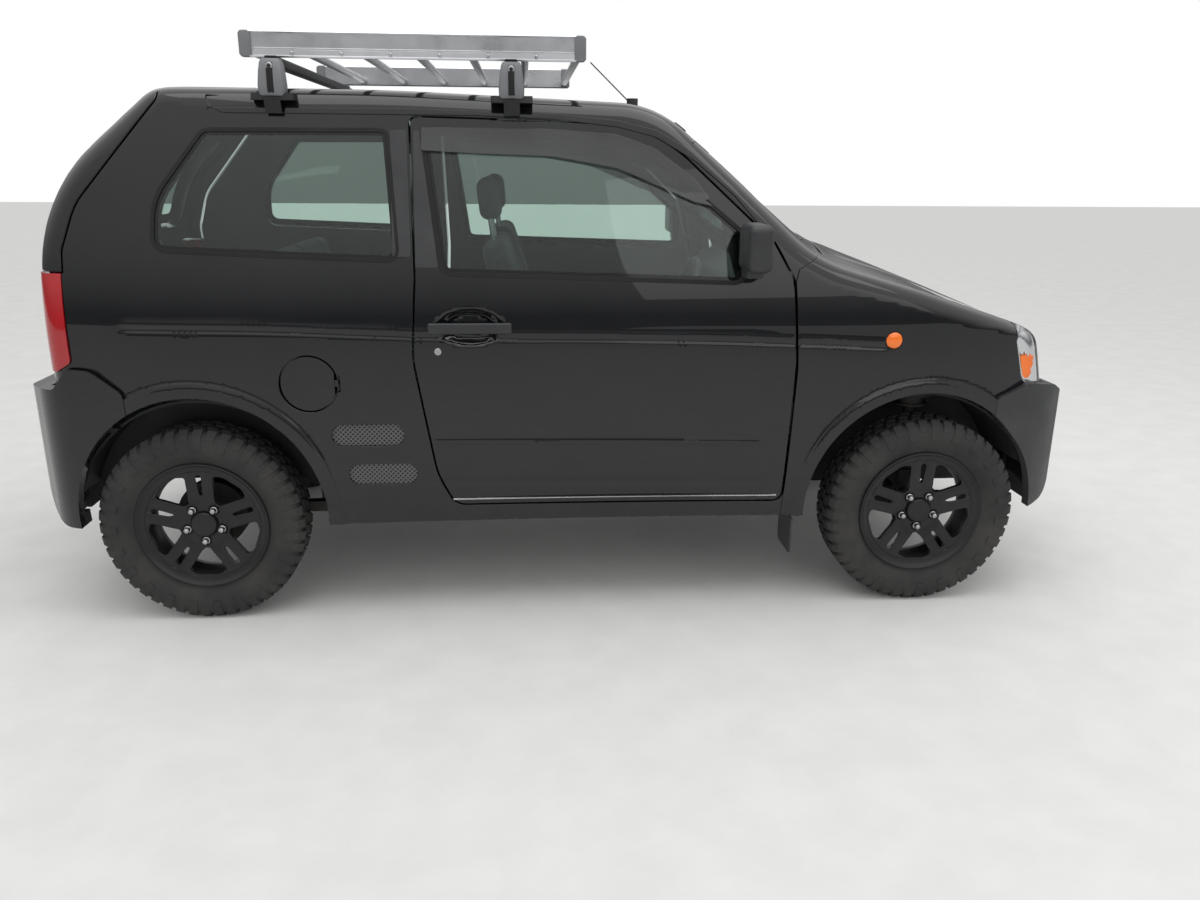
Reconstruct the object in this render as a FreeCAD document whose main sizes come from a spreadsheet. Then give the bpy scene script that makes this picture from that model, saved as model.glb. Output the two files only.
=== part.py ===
"""Three-door kei car with raised ground clearance, roof rack and all-terrain tyres.

Frame: +X forward, +Y to the car's left, +Z up, origin on the ground midway between the axles.
The body skin is one envelope: a side form (a loft of cross-sections along X) cut by a top form
(a loft of side silhouettes across Y), with rounded edges. An inner envelope leaves the walls, and
the walls are split at the real panel joints.
"""
import FreeCAD, Part
import math
import os

V = FreeCAD.Vector
os.makedirs("parts", exist_ok=True)
doc = FreeCAD.newDocument("kei_car")
sheet = doc.addObject("Spreadsheet::Sheet", "sizes")

# Driving sizes in millimetres and degrees: name, value
SIZES = [
    ("wheelbase", 2360),
    ("track_half", 645),
    ("tyre_radius", 320),
    ("tyre_half_width", 88),
    ("tyre_wall", 10),
    ("rim_flange_radius", 208),
    ("bead_radius", 190),
    ("rim_half_width", 71),
    ("rim_wall", 6),
    ("spoke_face", 52),
    ("spoke_depth", 26),
    ("hub_radius", 72),
    ("spindle_radius", 14),
    ("shaft_clearance", 0.3),
    ("disc_radius", 125),
    ("body_half", 737),
    ("roof_z", 1667),
    ("nose_x", 1652),
    ("tail_x", 1640),
    ("skirt_z", 318),
    ("edge_radius", 62),
    ("side_wall", 66),
    ("top_wall", 34),
    ("end_wall", 58),
    ("panel_gap", 5),
    ("door_front_gap", 7.2),
    ("seam", 0.3),
    ("glass_thick", 5),
    ("glass_inset", 4),
    ("lip_height", 9),
    ("roof_half", 512),
    ("door_front_x", 707),
    ("door_rear_x", -476),
    ("door_sill_z", 381),
    ("hinge_back", 45),
    ("hinge_depth", 14),
    ("hinge_barrel", 8),
    ("hinge_pin", 4),
    ("hinge_height", 60),
    ("kingpin_half", 525),
    ("arch_radius", 386),
    ("wheelhouse_radius", 390),
    ("floor_z", 300),
    ("floor_thick", 34),
    ("bumper_front_x", 1697.5),
    ("bumper_rear_x", 1697.5),
    ("bumper_wall", 40),
    ("rack_bar_x_front", -172),
    ("rack_bar_x_rear", -866),
    ("rack_bar_z", 1706),
    ("rack_bar_half", 612),
    ("rack_bar_height", 26),
    ("rack_bar_depth", 36),
    ("rack_front_x", 53),
    ("rack_rear_x", -966),
    ("rack_half", 558),
    ("rail_height", 74),
    ("rail_thick", 14),
    ("rung_radius", 10),
    ("rung_drop", 52),
    ("rung_count", 7),
    ("apron_half", 360),
    ("firewall_x", 774),
    ("deck_z", 620),
    ("sheet_thick", 12),
    ("front_floor_rear_x", -392),
    ("deck_rear_x", -1582),
    ("deck_half", 512),
    ("engine_length", 470),
    ("engine_width", 560),
    ("engine_height", 370),
    ("tank_length", 620),
    ("tank_width", 620),
    ("tank_height", 84),
    ("axle_tube_radius", 36),
    ("axle_half", 600),
    ("spindle_reach", 34),
    ("mast_length", 183),
    ("steering_wheel_radius", 182),
    ("steering_rim_radius", 13),
    ("fuel_lid_radius", 84),
]
for row, (name, value) in enumerate(SIZES, 1):
    sheet.set(f"A{row}", name)
    sheet.set(f"B{row}", str(value))
    sheet.setAlias(f"B{row}", name)
doc.recompute()
S = {name: float(sheet.get(name)) for name, value in SIZES}

AXLE = S["wheelbase"]/2
GAP = S["panel_gap"]
SEAM = S["seam"]
nodes = []


# Shared shape helpers

def corner_path(points, place):
    """Closed wire through (a, b, radius) corners; a radius rounds its corner with a tangent arc."""
    count = len(points)
    arcs = []
    for i in range(count):
        a0, b0 = points[i-1][:2]
        a1, b1, radius = points[i]
        a2, b2 = points[(i+1) % count][:2]
        ua, ub, wa, wb = a0-a1, b0-b1, a2-a1, b2-b1
        lu, lw = math.hypot(ua, ub), math.hypot(wa, wb)
        ua, ub, wa, wb = ua/lu, ub/lu, wa/lw, wb/lw
        if radius <= 0:
            arcs.append(((a1, b1), None, (a1, b1)))
            continue
        half = math.acos(max(-1, min(1, ua*wa+ub*wb)))/2
        ta = radius/math.tan(half)
        ca, cb = ua+wa, ub+wb
        lc = math.hypot(ca, cb)
        reach = radius/math.sin(half)-radius
        middle = (a1+ca/lc*reach, b1+cb/lc*reach)
        arcs.append(((a1+ua*ta, b1+ub*ta), middle, (a1+wa*ta, b1+wb*ta)))
    edges = []
    for i in range(count):
        start, middle, end = arcs[i]
        if middle:
            edges.append(Part.Arc(place(*start), place(*middle), place(*end)).toShape())
        p, q = place(*end), place(*arcs[(i+1) % count][0])
        if p.distanceToPoint(q) > 1e-6:
            edges.append(Part.LineSegment(p, q).toShape())
    return Part.Wire(edges)


def sharp(points):
    return [(p[0], p[1], p[2] if len(p) > 2 else 0) for p in points]


def prism_y(points, y0, y1, grow=0):
    """Side-view outline (x, z, radius) from y0 to y1, its edge moved out by grow."""
    face = Part.Face(corner_path(sharp(points), lambda a, b: V(a, y0, b)))
    if grow:
        face = face.makeOffset2D(grow, join=2, fill=False)
    return face.extrude(V(0, y1-y0, 0))


def prism_x(points, x0, x1, grow=0):
    """Front-view outline (y, z, radius) from x0 to x1."""
    face = Part.Face(corner_path(sharp(points), lambda a, b: V(x0, a, b)))
    if grow:
        face = face.makeOffset2D(grow, join=2, fill=False)
    return face.extrude(V(x1-x0, 0, 0))


def prism_z(points, z0, z1, grow=0):
    """Plan outline (x, y, radius) from z0 to z1."""
    face = Part.Face(corner_path(sharp(points), lambda a, b: V(a, b, z0)))
    if grow:
        face = face.makeOffset2D(grow, join=2, fill=False)
    return face.extrude(V(0, 0, z1-z0))


def box(x0, x1, y0, y1, z0, z1):
    return Part.makeBox(x1-x0, y1-y0, z1-z0, V(x0, y0, z0))


def rod(radius, start, end):
    start, end = V(*start), V(*end)
    return Part.makeCylinder(radius, (end-start).Length, start, end-start)


def mirrored(shape):
    return shape.mirror(V(0, 0, 0), V(0, 1, 0))


def both_sides(shape):
    return Part.makeCompound([shape, mirrored(shape)])


def fused(shapes):
    result = shapes[0].multiFuse(shapes[1:])
    return result.removeSplitter()


def keep_solids(shape, smallest=500):
    """The solids of a boolean result, without the crumbs that a cut leaves."""
    solids = [s for s in shape.Solids if s.Volume > smallest]
    return solids[0] if len(solids) == 1 else Part.makeCompound(solids)


def node(name, shape):
    """A sub-part whose free form comes from code."""
    piece = doc.addObject("Part::Feature", name)
    piece.Label = name
    piece.Shape = shape
    piece.Placement = FreeCAD.Placement()
    nodes.append(piece)
    return piece


# Body envelope

def top_form(inset, end_inset):
    """Side silhouettes lofted across the car: x and z at the middle, x and z at the sides, radius."""
    tail, nose, roof = S["tail_x"]-end_inset, S["nose_x"]-end_inset, S["roof_z"]-inset
    side = inset*0.75
    rows = [
        (-tail, 200, -tail+70, 200, 0),
        (-tail, 1333-inset*0.4, -tail+69, 1320-inset*0.4, 520-inset),
        (-1250+side, roof+4, -1210+side, roof-45, 90-inset),
        (-560, roof, -560, roof-41, 8000),
        (302-side, roof-34, 244-side, roof-74, 350-inset),
        (848-side, 1194-side, 752-side, 1138-side, 500),
        (1210, 1062-inset, 1130, 1045-inset, 3500),
        (nose-58, 893-inset, nose-137, 938-inset, 80-inset),
        (nose, 640, nose-67, 640, 200),
        (nose, 200, nose-67, 200, 0),
    ]
    wires = []
    for y in (-780, 0, 780):
        points = [(xm, zm, r) if y == 0 else (xs, zs, r) for xm, zm, xs, zs, r in rows]
        wires.append(corner_path(points, lambda a, b: V(a, y, b)))
    return Part.makeLoft(wires, True, False)


def side_form(inset, bottom=200):
    """Cross-sections lofted along the car: x, and how far the flank is drawn in there."""
    stations = [(-1760, 86), (-1300, 11), (-500, 0), (500, 0), (1250, 13), (1760, 124)]
    half = S["body_half"]+1-inset
    wires = []
    for x, drawn in stations:
        y = half-drawn
        right = [(-y+58, bottom, 0), (-y+2, 470, 600), (-y, 985, 900), (-y+192, 1800, 0)]
        left = [(-a, b, r) for a, b, r in reversed(right)]
        wires.append(corner_path(right+left, lambda a, b: V(x, a, b)))
    return Part.makeLoft(wires, True, False)


def sharp_edges(solid, low):
    """Edges of a solid above low, between faces that meet at more than 12 degrees."""
    found = []
    for edge in solid.Edges:
        middle = edge.valueAt((edge.FirstParameter+edge.LastParameter)/2)
        faces = solid.ancestorsOfType(edge, Part.Face)
        if middle.z < low or abs(middle.y) < 300 or len(faces) != 2:
            continue
        normals = [f.normalAt(*f.Surface.parameter(middle)) for f in faces]
        if math.degrees(normals[0].getAngle(normals[1])) > 12:
            found.append(edge)
    return found


def envelope(inset_side, inset_top, inset_end, radius):
    solid = top_form(inset_top, inset_end).common(side_form(inset_side)).Solids[0]
    if radius:
        solid = solid.makeFillet(radius, sharp_edges(solid, 215))
    return solid


outer = envelope(0, 0, 0, S["edge_radius"])
inner = envelope(S["side_wall"], S["top_wall"], S["end_wall"], 0)
low_cut = box(-2000, 2000, -900, 900, 0, S["skirt_z"])
shell = outer.cut(inner).cut(low_cut)

# Side-view outlines: x, z, corner radius
front_edge, rear_edge, sill = S["door_front_x"], S["door_rear_x"], S["door_sill_z"]
DOOR = [
    (rear_edge, 1568, 20), (rear_edge+6, 1105, 200), (rear_edge-8, 860, 300), (rear_edge+52, 490, 250),
    (rear_edge+104, sill, 50), (front_edge-16, sill-4, 30), (front_edge+2, 830, 600),
    (front_edge-17, 1100, 40), (629, 1208, 46), (250, 1553, 400),
]
DOOR_GLASS = [
    (-437, 1530, 25), (200, 1506, 300), (527, 1238, 14), (533, 1093, 25), (-387, 1121, 30),
    (-402, 1250, 300),
]
QUARTER = [
    (-545, 1530, 22), (-1078, 1526, 30), (-1229, 1330, 180), (-1238, 1185, 40), (-520, 1155, 30),
]
TAIL_LINE = [
    (-1213, 1750), (-1213, 1612, 20), (-1468, 1313, 200), (-1514, 1180, 80), (-1514, 1120), (-1800, 1120),
    (-1800, 1750),
]
TAIL_LAMP = [(-1800, 1115), (-1516, 1115), (-1514, 850, 20), (-1562, 822, 10), (-1800, 815)]
HEAD_LAMP = [
    (1448, 960), (1452, 896, 30), (1488, 771, 30), (1512, 745, 10), (1800, 736), (1800, 878), (1565, 884, 20),
    (1500, 960),
]
front_gap = S["door_front_gap"]
FENDER = [
    (front_edge-16+front_gap, 200), (front_edge-16+front_gap, sill-4), (front_edge+2+front_gap, 830, 600),
    (front_edge-16+front_gap, 1092, 10), (708, 1130, 6), (784, 1170), (900, 1300), (1800, 1300), (1800, 200),
]
FRONT_BUMPER = [
    (1380, 200), (1400, 716, 20), (1449, 732, 60), (1512, 760, 20), (1800, 736), (1800, 200),
]
REAR_BUMPER = [
    (-1340, 200), (-1364, 760, 40), (-1455, 830, 60), (-1521, 835, 20), (-1575, 770, 20), (-1800, 765),
    (-1800, 200),
]

# Wheel openings in the skin and the wheelhouses behind it
front_arch = Part.makeCylinder(S["arch_radius"], 400, V(AXLE-24, -900, 352), V(0, 1, 0))
rear_arch = Part.makeCylinder(S["arch_radius"], 400, V(-AXLE+16, -900, 360), V(0, 1, 0))
arches = Part.makeCompound([front_arch, rear_arch, mirrored(front_arch), mirrored(rear_arch)])
arch_voids = Part.makeCompound([
    front_arch, rear_arch, mirrored(front_arch), mirrored(rear_arch),
    rod(S["wheelhouse_radius"], (AXLE, -760, S["tyre_radius"]), (AXLE, 760, S["tyre_radius"])),
])

right_half = box(-2000, 2000, -900, 0, 0, 2000)
right_side = box(-2000, 2000, -900, -S["roof_half"], 0, 2000)

# Bonnet, seen in plan: x, y, corner radius
BONNET = [
    (812, -588, 25), (1800, -560, 0), (1800, 560, 0), (812, 588, 25), (904, 0, 1400),
]
bonnet_low = 886
BONNET_BACK = 8
bonnet_outline = [(x+BONNET_BACK if x < 1000 else x, y, r) for x, y, r in BONNET]
bonnet_zone = prism_z(bonnet_outline, bonnet_low, 1400)
bonnet_hole = prism_z(BONNET, bonnet_low-GAP, 1400, GAP)
windscreen_zone = [(-622, 1206, 60), (622, 1206, 60), (530, 1600, 50), (-530, 1600, 50)]
windscreen_hole = prism_x(windscreen_zone, 200, 1000)
fender_zone = prism_y(FENDER, -900, 900)
front_bumper_zone = prism_y(FRONT_BUMPER, -900, 900)
rear_bumper_zone = prism_y(REAR_BUMPER, -900, 900)
tail_zone = prism_y(TAIL_LINE, -900, 900)
tail_hole = prism_y(TAIL_LINE, -900, 900, GAP)
door_hole_outline = DOOR
LAMP_INNER = 560
lamp_zone = prism_y(TAIL_LAMP, -900, -LAMP_INNER)
head_zone = prism_y(HEAD_LAMP, -900, -340)

# Tailgate: the upper part wraps the rear, the lower part lies between the lamps
gate_lower = box(-1800, -1400, -LAMP_INNER+GAP, LAMP_INNER-GAP, 770+GAP, 1125)
gate_zone = tail_zone.fuse(gate_lower)
gate_hole = tail_hole.fuse(box(-1800, -1400, -LAMP_INNER, LAMP_INNER, 770, 1125))
rear_window_zone = [(-548, 1188, 60), (548, 1188, 60), (478, 1545, 60), (-478, 1545, 60)]
rear_window_hole = prism_x(rear_window_zone, -1800, -1215)

print("zones ready", round(outer.Volume/1e9, 3), round(shell.Volume/1e9, 3))


# Doors

def door_cutter(grow_outer, grow_inner):
    """Door outline that tapers towards the cabin, so that the thick edge swings clear."""
    outline = Part.Face(corner_path(sharp(DOOR), lambda a, b: V(a, -800, b)))
    first = outline.makeOffset2D(grow_outer, join=2, fill=False)
    second = outline.makeOffset2D(grow_inner, join=2, fill=False)
    second.translate(V(0, 300, 0))
    return Part.makeLoft([first.OuterWire, second.OuterWire], True, True)


door_body = door_cutter(-0.01, -26)
door_hole = door_cutter(GAP, -26+GAP)
FRONT_SLOT = [
    (front_edge-24, sill-4), (front_edge-16+front_gap, sill-4), (front_edge+2+front_gap, 830, 600),
    (front_edge-16+front_gap, 1092), (front_edge-26, 1092), (front_edge-10, 830),
]
front_slot = prism_y(FRONT_SLOT, -900, -600)
door_hole = door_hole.fuse(front_slot)

# Hinge line of a door: just inside the skin, behind the front edge
HINGE_X = front_edge-S["hinge_back"]
HINGE_Y = -(S["body_half"]-S["hinge_depth"])
HINGE_LEVELS = [500, 880]


def door_hinges():
    """Body-side leaves, door-side pins and the recess in the door.

    A leaf leaves its barrel inboard, beyond the sweep of the door's front edge, and then runs forward.
    """
    leaves, pins, recesses = [], [], []
    height, barrel = S["hinge_height"], S["hinge_barrel"]
    clear = math.hypot(S["hinge_back"], S["hinge_depth"]+2)+7
    for z in HINGE_LEVELS:
        reach = front_edge+front_gap+8
        leaf = fused([
            Part.makeCylinder(barrel, height, V(HINGE_X, HINGE_Y, z)),
            box(HINGE_X-4, HINGE_X+4, HINGE_Y, HINGE_Y+clear+8, z, z+height),
            box(HINGE_X-4, reach, HINGE_Y+clear, HINGE_Y+clear+8, z, z+height),
            box(HINGE_X+clear-10, reach, HINGE_Y+clear-24, HINGE_Y+clear+8, z, z+height),
        ])
        bore = Part.makeCylinder(S["hinge_pin"]+0.05, height+2, V(HINGE_X, HINGE_Y, z-1))
        leaves.append(leaf.cut(bore))
        pins.append(Part.makeCylinder(S["hinge_pin"], height+24, V(HINGE_X, HINGE_Y, z-12)))
        inner_y = HINGE_Y+130
        recesses.append(box(HINGE_X-16, front_edge+20, HINGE_Y-barrel-2, inner_y, z-6, z+height+6))
    return leaves, pins, recesses


hinge_leaves, hinge_pins, hinge_recesses = door_hinges()
HANDLE_RECESS = [(-444, 957, 20), (-420, 1010, 30), (-205, 1010, 30), (-177, 957, 20), (-205, 895, 30),
                 (-420, 895, 30)]


glass_outer = side_form(S["glass_inset"])
glass_inner = side_form(S["glass_inset"]+S["glass_thick"])


def side_glass(outline):
    """A pane in the side form, set in from the skin, a seam smaller than its opening."""
    pane = glass_outer.common(prism_y(outline, -900, -400, -SEAM))
    return keep_solids(pane.cut(glass_inner))


def make_door():
    door = shell.common(door_body).common(box(-1000, 1000, -900, -520, 0, 2000))
    door = keep_solids(door, 1e5)
    window = prism_y(DOOR_GLASS, -900, -400)
    door = door.cut(window)
    recess = prism_y(HANDLE_RECESS, -S["body_half"]-30, -S["body_half"]+26)
    door = door.cut(recess)
    for hole in hinge_recesses:
        door = door.cut(hole)
    return door, side_glass(DOOR_GLASS)


door_shape, door_glass_shape = make_door()
door_shape = fused([keep_solids(door_shape, 1e5)]+hinge_pins)
node("door_right", door_shape)
node("door_left", mirrored(door_shape))
node("door_glass_right", door_glass_shape)
node("door_glass_left", mirrored(door_glass_shape))

print("doors", round(door_shape.Volume/1e6, 2), round(door_glass_shape.Volume/1e6, 3),
      len(door_shape.Solids), len(door_glass_shape.Solids))

# Side panels with sill, rear quarter and front pillar
FUEL_X, FUEL_Z = -804, 788
lid_radius = S["fuel_lid_radius"]
lid_hinge_x, lid_hinge_y = FUEL_X+lid_radius+GAP/2, -S["body_half"]+3
fuel_pocket = rod(lid_radius+GAP, (FUEL_X, -800, FUEL_Z), (FUEL_X, -S["body_half"]+30, FUEL_Z))
hinge_notch = box(lid_hinge_x-3, lid_hinge_x+GAP, -800, lid_hinge_y+4, FUEL_Z-24, FUEL_Z+24)
VENTS = [
    [(-750, 622, 30), (-735, 657, 30), (-540, 657, 30), (-519, 622, 30), (-540, 587, 30), (-735, 587, 30)],
    [(-704, 492, 30), (-690, 526, 30), (-505, 526, 30), (-484, 492, 30), (-505, 458, 30), (-690, 458, 30)],
]
quarter_hole = prism_y(QUARTER, -900, -400)
side = shell.common(right_side)
for cutter in (fender_zone, gate_hole, lamp_zone, rear_bumper_zone, door_hole, quarter_hole, windscreen_hole,
               front_arch, rear_arch, bonnet_hole):
    side = side.cut(cutter)
side = side.cut(box(700, 1200, -900, -S["roof_half"], 1160, 1240).common(bonnet_hole))
vent_cut = Part.makeCompound([prism_y(v, -900, -600) for v in VENTS])
side = side.cut(vent_cut)
side_left = keep_solids(side, 1e5)
side_right = keep_solids(side.cut(fuel_pocket).cut(hinge_notch), 1e5)
node("side_panel_right", side_right)
node("side_panel_left", mirrored(side_left))
quarter_glass = side_glass(QUARTER)
node("quarter_glass", both_sides(quarter_glass))
print("side", len(side_right.Solids), [round(s.Volume/1e6, 2) for s in side_right.Solids],
      len(quarter_glass.Solids))

# Roof between the side panels, from the tailgate to the windscreen
roof = shell.common(box(-2000, 500, -S["roof_half"]+SEAM, S["roof_half"]-SEAM, 1450, 1900))
roof = roof.cut(tail_hole).cut(windscreen_hole)
node("roof_panel", keep_solids(roof, 1e5))

# Windscreen, rear window
screen = top_form(S["glass_inset"], 0).common(prism_x(windscreen_zone, 200, 1000, -SEAM))
screen = screen.cut(top_form(S["glass_inset"]+S["glass_thick"], 0))
node("windscreen", keep_solids(screen))
deep = S["glass_inset"]+S["glass_thick"]
rear_window = top_form(S["glass_inset"], S["glass_inset"]).common(
    prism_x(rear_window_zone, -1800, -1215, -SEAM))
rear_window = rear_window.cut(top_form(deep, deep))
node("tailgate_glass", keep_solids(rear_window))

# Tailgate
gate = shell.common(gate_zone).cut(rear_window_hole)
gate = keep_solids(gate, 1e5)
print("gate", len(gate.Solids), len(screen.Solids), len(rear_window.Solids))

# Bonnet, fenders, cowl, lamps, nose
bonnet = keep_solids(shell.common(bonnet_zone), 1e5)
fender = shell.common(fender_zone).common(box(0, 2000, -900, -330, 0, 2000))
for cutter in (bonnet_hole, head_zone, front_bumper_zone, front_arch, windscreen_hole):
    fender = fender.cut(cutter)
fender = fender.common(box(0, 2000, -900, -500, 0, 2000))
fender = keep_solids(fender, 1e5)
cowl_half = 500-SEAM
cowl = shell.common(box(600, 1100, -cowl_half, cowl_half, 1080, 1300)).cut(bonnet_hole).cut(windscreen_hole)
node("cowl", keep_solids(cowl, 1e4))
print("bonnet", len(bonnet.Solids), "fender", len(fender.Solids), "cowl", len(cowl.Solids))

# Tailgate hinges: the barrel lies just under the skin, and the edge ahead of it is rolled round the axis
GATE_HINGE_X, GATE_HINGE_Y, GATE_HINGE_Z = -1231, 180, 1653
GATE_ROLL = 17.5


def gate_hinge():
    """Leaf that drops from its barrel and runs forward to the roof's end, with pin and recess."""
    x, y, z = GATE_HINGE_X, GATE_HINGE_Y, GATE_HINGE_Z
    barrel, half, reach = S["hinge_barrel"], S["hinge_height"]/2, 30
    leaf = fused([
        rod(barrel, (x, y-half, z), (x, y+half, z)),
        box(x-4, x+4, y-half, y+half, z-22, z),
        box(x-4, x+reach, y-half, y+half, z-22, z-15),
    ]).cut(rod(S["hinge_pin"]+0.05, (x, y-2*half, z), (x, y+2*half, z)))
    pin = rod(S["hinge_pin"], (x, y-half-12, z), (x, y+half+12, z))
    recess = box(x-16, x+reach, y-half-6, y+half+6, z-90, z+barrel+2)
    return leaf, pin, recess


gate_leaf, gate_pin, gate_recess = gate_hinge()
ahead = box(GATE_HINGE_X, GATE_HINGE_X+60, -700, 700, GATE_HINGE_Z, GATE_HINGE_Z+60)
ahead = ahead.cut(rod(GATE_ROLL, (GATE_HINGE_X, -710, GATE_HINGE_Z), (GATE_HINGE_X, 710, GATE_HINGE_Z)))
gate = gate.cut(ahead).cut(both_sides(gate_recess))
gate = fused([keep_solids(gate, 1e5), gate_pin, mirrored(gate_pin)])
node("tailgate", gate)

# Bonnet hinges: small barrels in the gap behind the rear corners, in a groove of the fenders
BONNET_HINGE_X, BONNET_HINGE_Z = 814, 1163
BONNET_HINGE_SPAN = [520, 534, 550, 564]
groove_r, knuckle_r, bonnet_pin_r = 10, 6, 3


def across(radius, y0, y1):
    return rod(radius, (BONNET_HINGE_X, y0, BONNET_HINGE_Z), (BONNET_HINGE_X, y1, BONNET_HINGE_Z))


y_in, y_tab_in, y_tab_out, y_out = BONNET_HINGE_SPAN
bonnet_groove = across(groove_r, y_in-6, y_out+6)
bonnet_pin = across(bonnet_pin_r, y_in, y_out)
bonnet_tab = box(BONNET_HINGE_X, BONNET_HINGE_X+28, y_tab_in+1, y_tab_out-1, BONNET_HINGE_Z-3, BONNET_HINGE_Z+3)
bonnet_leaves = []
for low, high in ((y_in, y_tab_in), (y_tab_out, y_out)):
    web = box(BONNET_HINGE_X-20, BONNET_HINGE_X, low, high, BONNET_HINGE_Z-3, BONNET_HINGE_Z+3)
    bonnet_leaves.append(fused([across(knuckle_r, low, high), web]).cut(across(bonnet_pin_r+0.05, low-5, high+5)))
bonnet_clear = Part.makeCompound([across(knuckle_r+2, y_in-2, y_tab_in+1), across(knuckle_r+2, y_tab_out-1, y_out+2)])
bonnet = keep_solids(bonnet.cut(both_sides(bonnet_clear)), 1e5)
bonnet = fused([bonnet, bonnet_pin, mirrored(bonnet_pin), bonnet_tab, mirrored(bonnet_tab)])
node("bonnet", bonnet)
fender = keep_solids(fender.cut(mirrored(bonnet_groove)), 1e5)
node("fenders", both_sides(fender))
print("gate", len(gate.Solids), "bonnet", len(bonnet.Solids), "fender", len(fender.Solids))

# Lamps sit in the corners of the body, as deep as its walls
head = keep_solids(shell.common(head_zone).cut(bonnet_hole).cut(front_bumper_zone), 1e4)
node("headlamps", both_sides(head))
tail = keep_solids(shell.common(lamp_zone).cut(rear_bumper_zone), 1e4)
node("tail_lamps", both_sides(tail))
nose = shell.common(box(1400, 1800, -340+SEAM, 340-SEAM, 755, bonnet_low-GAP)).cut(front_bumper_zone)
nose = nose.cut(bonnet_hole)
slots = [box(1400, 1800, -300, 300, z, z+14) for z in (790, 816, 842)]
nose = keep_solids(nose.cut(Part.makeCompound(slots)), 1e4)
node("front_grille", nose)
print("head", len(head.Solids), "tail", len(tail.Solids), "nose", len(nose.Solids))


# Bumpers: plan outline with rounded corners, side outline with rounded lip

def bumper(plan, side_outline, zone_outline, wall):
    """Shell of a bumper, a seam clear of the body panels that meet its zone."""
    block = prism_z(plan, 250, 900).common(prism_y(side_outline, -900, 900))
    block = block.common(prism_y(zone_outline, -900, 900, -SEAM))
    hollow = prism_z(plan, 240, 910, -wall).common(prism_y(side_outline, -900, 900, -wall))
    return block.cut(hollow)


fx, rx = S["bumper_front_x"], S["bumper_rear_x"]
front_plan = [
    (1330, -724, 0), (1575, -694, 250), (fx-14, -600, 100), (fx, 0, 4500), (fx-14, 600, 100), (1575, 694, 250),
    (1330, 724, 0),
]
rear_plan = [
    (-1330, -734, 0), (-1590, -716, 150), (-rx+14, -610, 90), (-rx, 0, 4500), (-rx+14, 610, 90),
    (-1590, 716, 150), (-1330, 734, 0),
]
front_side = [
    (1300, 200), (1402, 714, 20), (1449, 731, 60), (1512, 759, 20), (1620, 745, 40), (1712, 690, 60),
    (1712, 470, 120), (1640, 345, 60), (1560, 318, 20), (1480, 330),
]
rear_side = [
    (-1300, 200), (-1364, 759, 40), (-1455, 829, 60), (-1521, 834, 20), (-1577, 772, 20), (-1712, 764, 30),
    (-1712, 560, 200), (-1640, 324, 80), (-1500, 320, 20),
]
inboard = S["body_half"]-96
front_bumper = bumper(front_plan, front_side, FRONT_BUMPER, S["bumper_wall"]).cut(arch_voids)
front_bumper = front_bumper.cut(box(1200, 1590, -inboard, inboard, 200, 900))
rear_bumper = bumper(rear_plan, rear_side, REAR_BUMPER, S["bumper_wall"]).cut(arch_voids)
rear_bumper = rear_bumper.cut(box(-1610, -1200, -inboard, inboard, 200, 900))
mouth = prism_x([(-430, 455, 40), (430, 455, 40), (400, 590, 40), (-400, 590, 40)], 1400, 1800)
front_bumper = keep_solids(front_bumper.cut(mouth), 5e6)
rear_bumper = keep_solids(rear_bumper, 1e5)
node("bumper_front", front_bumper)
node("bumper_rear", rear_bumper)
print("bumpers", [round(s.Volume/1e6, 2) for s in front_bumper.Solids],
      [round(s.Volume/1e6, 2) for s in rear_bumper.Solids])

# Raised lips round the wheel openings
lip_form = side_form(-S["lip_height"])


def arch_lip(x, z, zone, low):
    ring = Part.makeCylinder(S["arch_radius"]+44, 300, V(x, -900, z), V(0, 1, 0))
    ring = ring.cut(Part.makeCylinder(S["arch_radius"], 300, V(x, -900, z), V(0, 1, 0)))
    ring = ring.common(box(-2000, 2000, -900, -600, low, 1200))
    lip = ring.common(lip_form).cut(outer).cut(zone)
    return keep_solids(lip, 2e4)


front_lip = arch_lip(AXLE-24, 352, front_bumper_zone, 520)
rear_lip = arch_lip(-AXLE+16, 360, rear_bumper_zone, 400)
rear_lip = keep_solids(rear_lip.cut(door_hole), 2e4)
node("arch_lips", Part.makeCompound([both_sides(front_lip), both_sides(rear_lip)]))
print("lips", [round(s.Volume/1e6, 3) for s in front_lip.Solids+rear_lip.Solids])


# Primitive sub-parts bound to the sheet

def bind(obj, **links):
    for key, text in links.items():
        obj.setExpression(key.replace("_", "."), text)
    return obj


def cell_box(name, length, width, height, x, y, z):
    """Part::Box whose sizes and corner are expressions on the sheet."""
    obj = doc.addObject("Part::Box", name)
    bind(obj, Length=length, Width=width, Height=height)
    bind(obj, Placement_Base_x=x, Placement_Base_y=y, Placement_Base_z=z)
    return obj


def cell_rod(name, radius, height, x, y, z, turn=None):
    """Part::Cylinder along Z, or turned to lie along Y or X."""
    obj = doc.addObject("Part::Cylinder", name)
    if turn:
        obj.Placement.Rotation = FreeCAD.Rotation(*turn)
    bind(obj, Radius=radius, Height=height)
    bind(obj, Placement_Base_x=x, Placement_Base_y=y, Placement_Base_z=z)
    return obj


def union(name, members):
    obj = doc.addObject("Part::MultiFuse", name)
    obj.Shapes = members
    obj.Label = name
    nodes.append(obj)
    return obj


def labelled(obj):
    obj.Label = obj.Name
    nodes.append(obj)
    return obj


ALONG_Y = (V(1, 0, 0), -90)
ALONG_X = (V(0, 1, 0), 90)


# Wheels: a tyre and a rim as turned profiles, the rim windows as a polar pattern

def origin_plane(body, role):
    return [f for f in body.Origin.OriginFeatures if f.Role == role][0]


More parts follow.
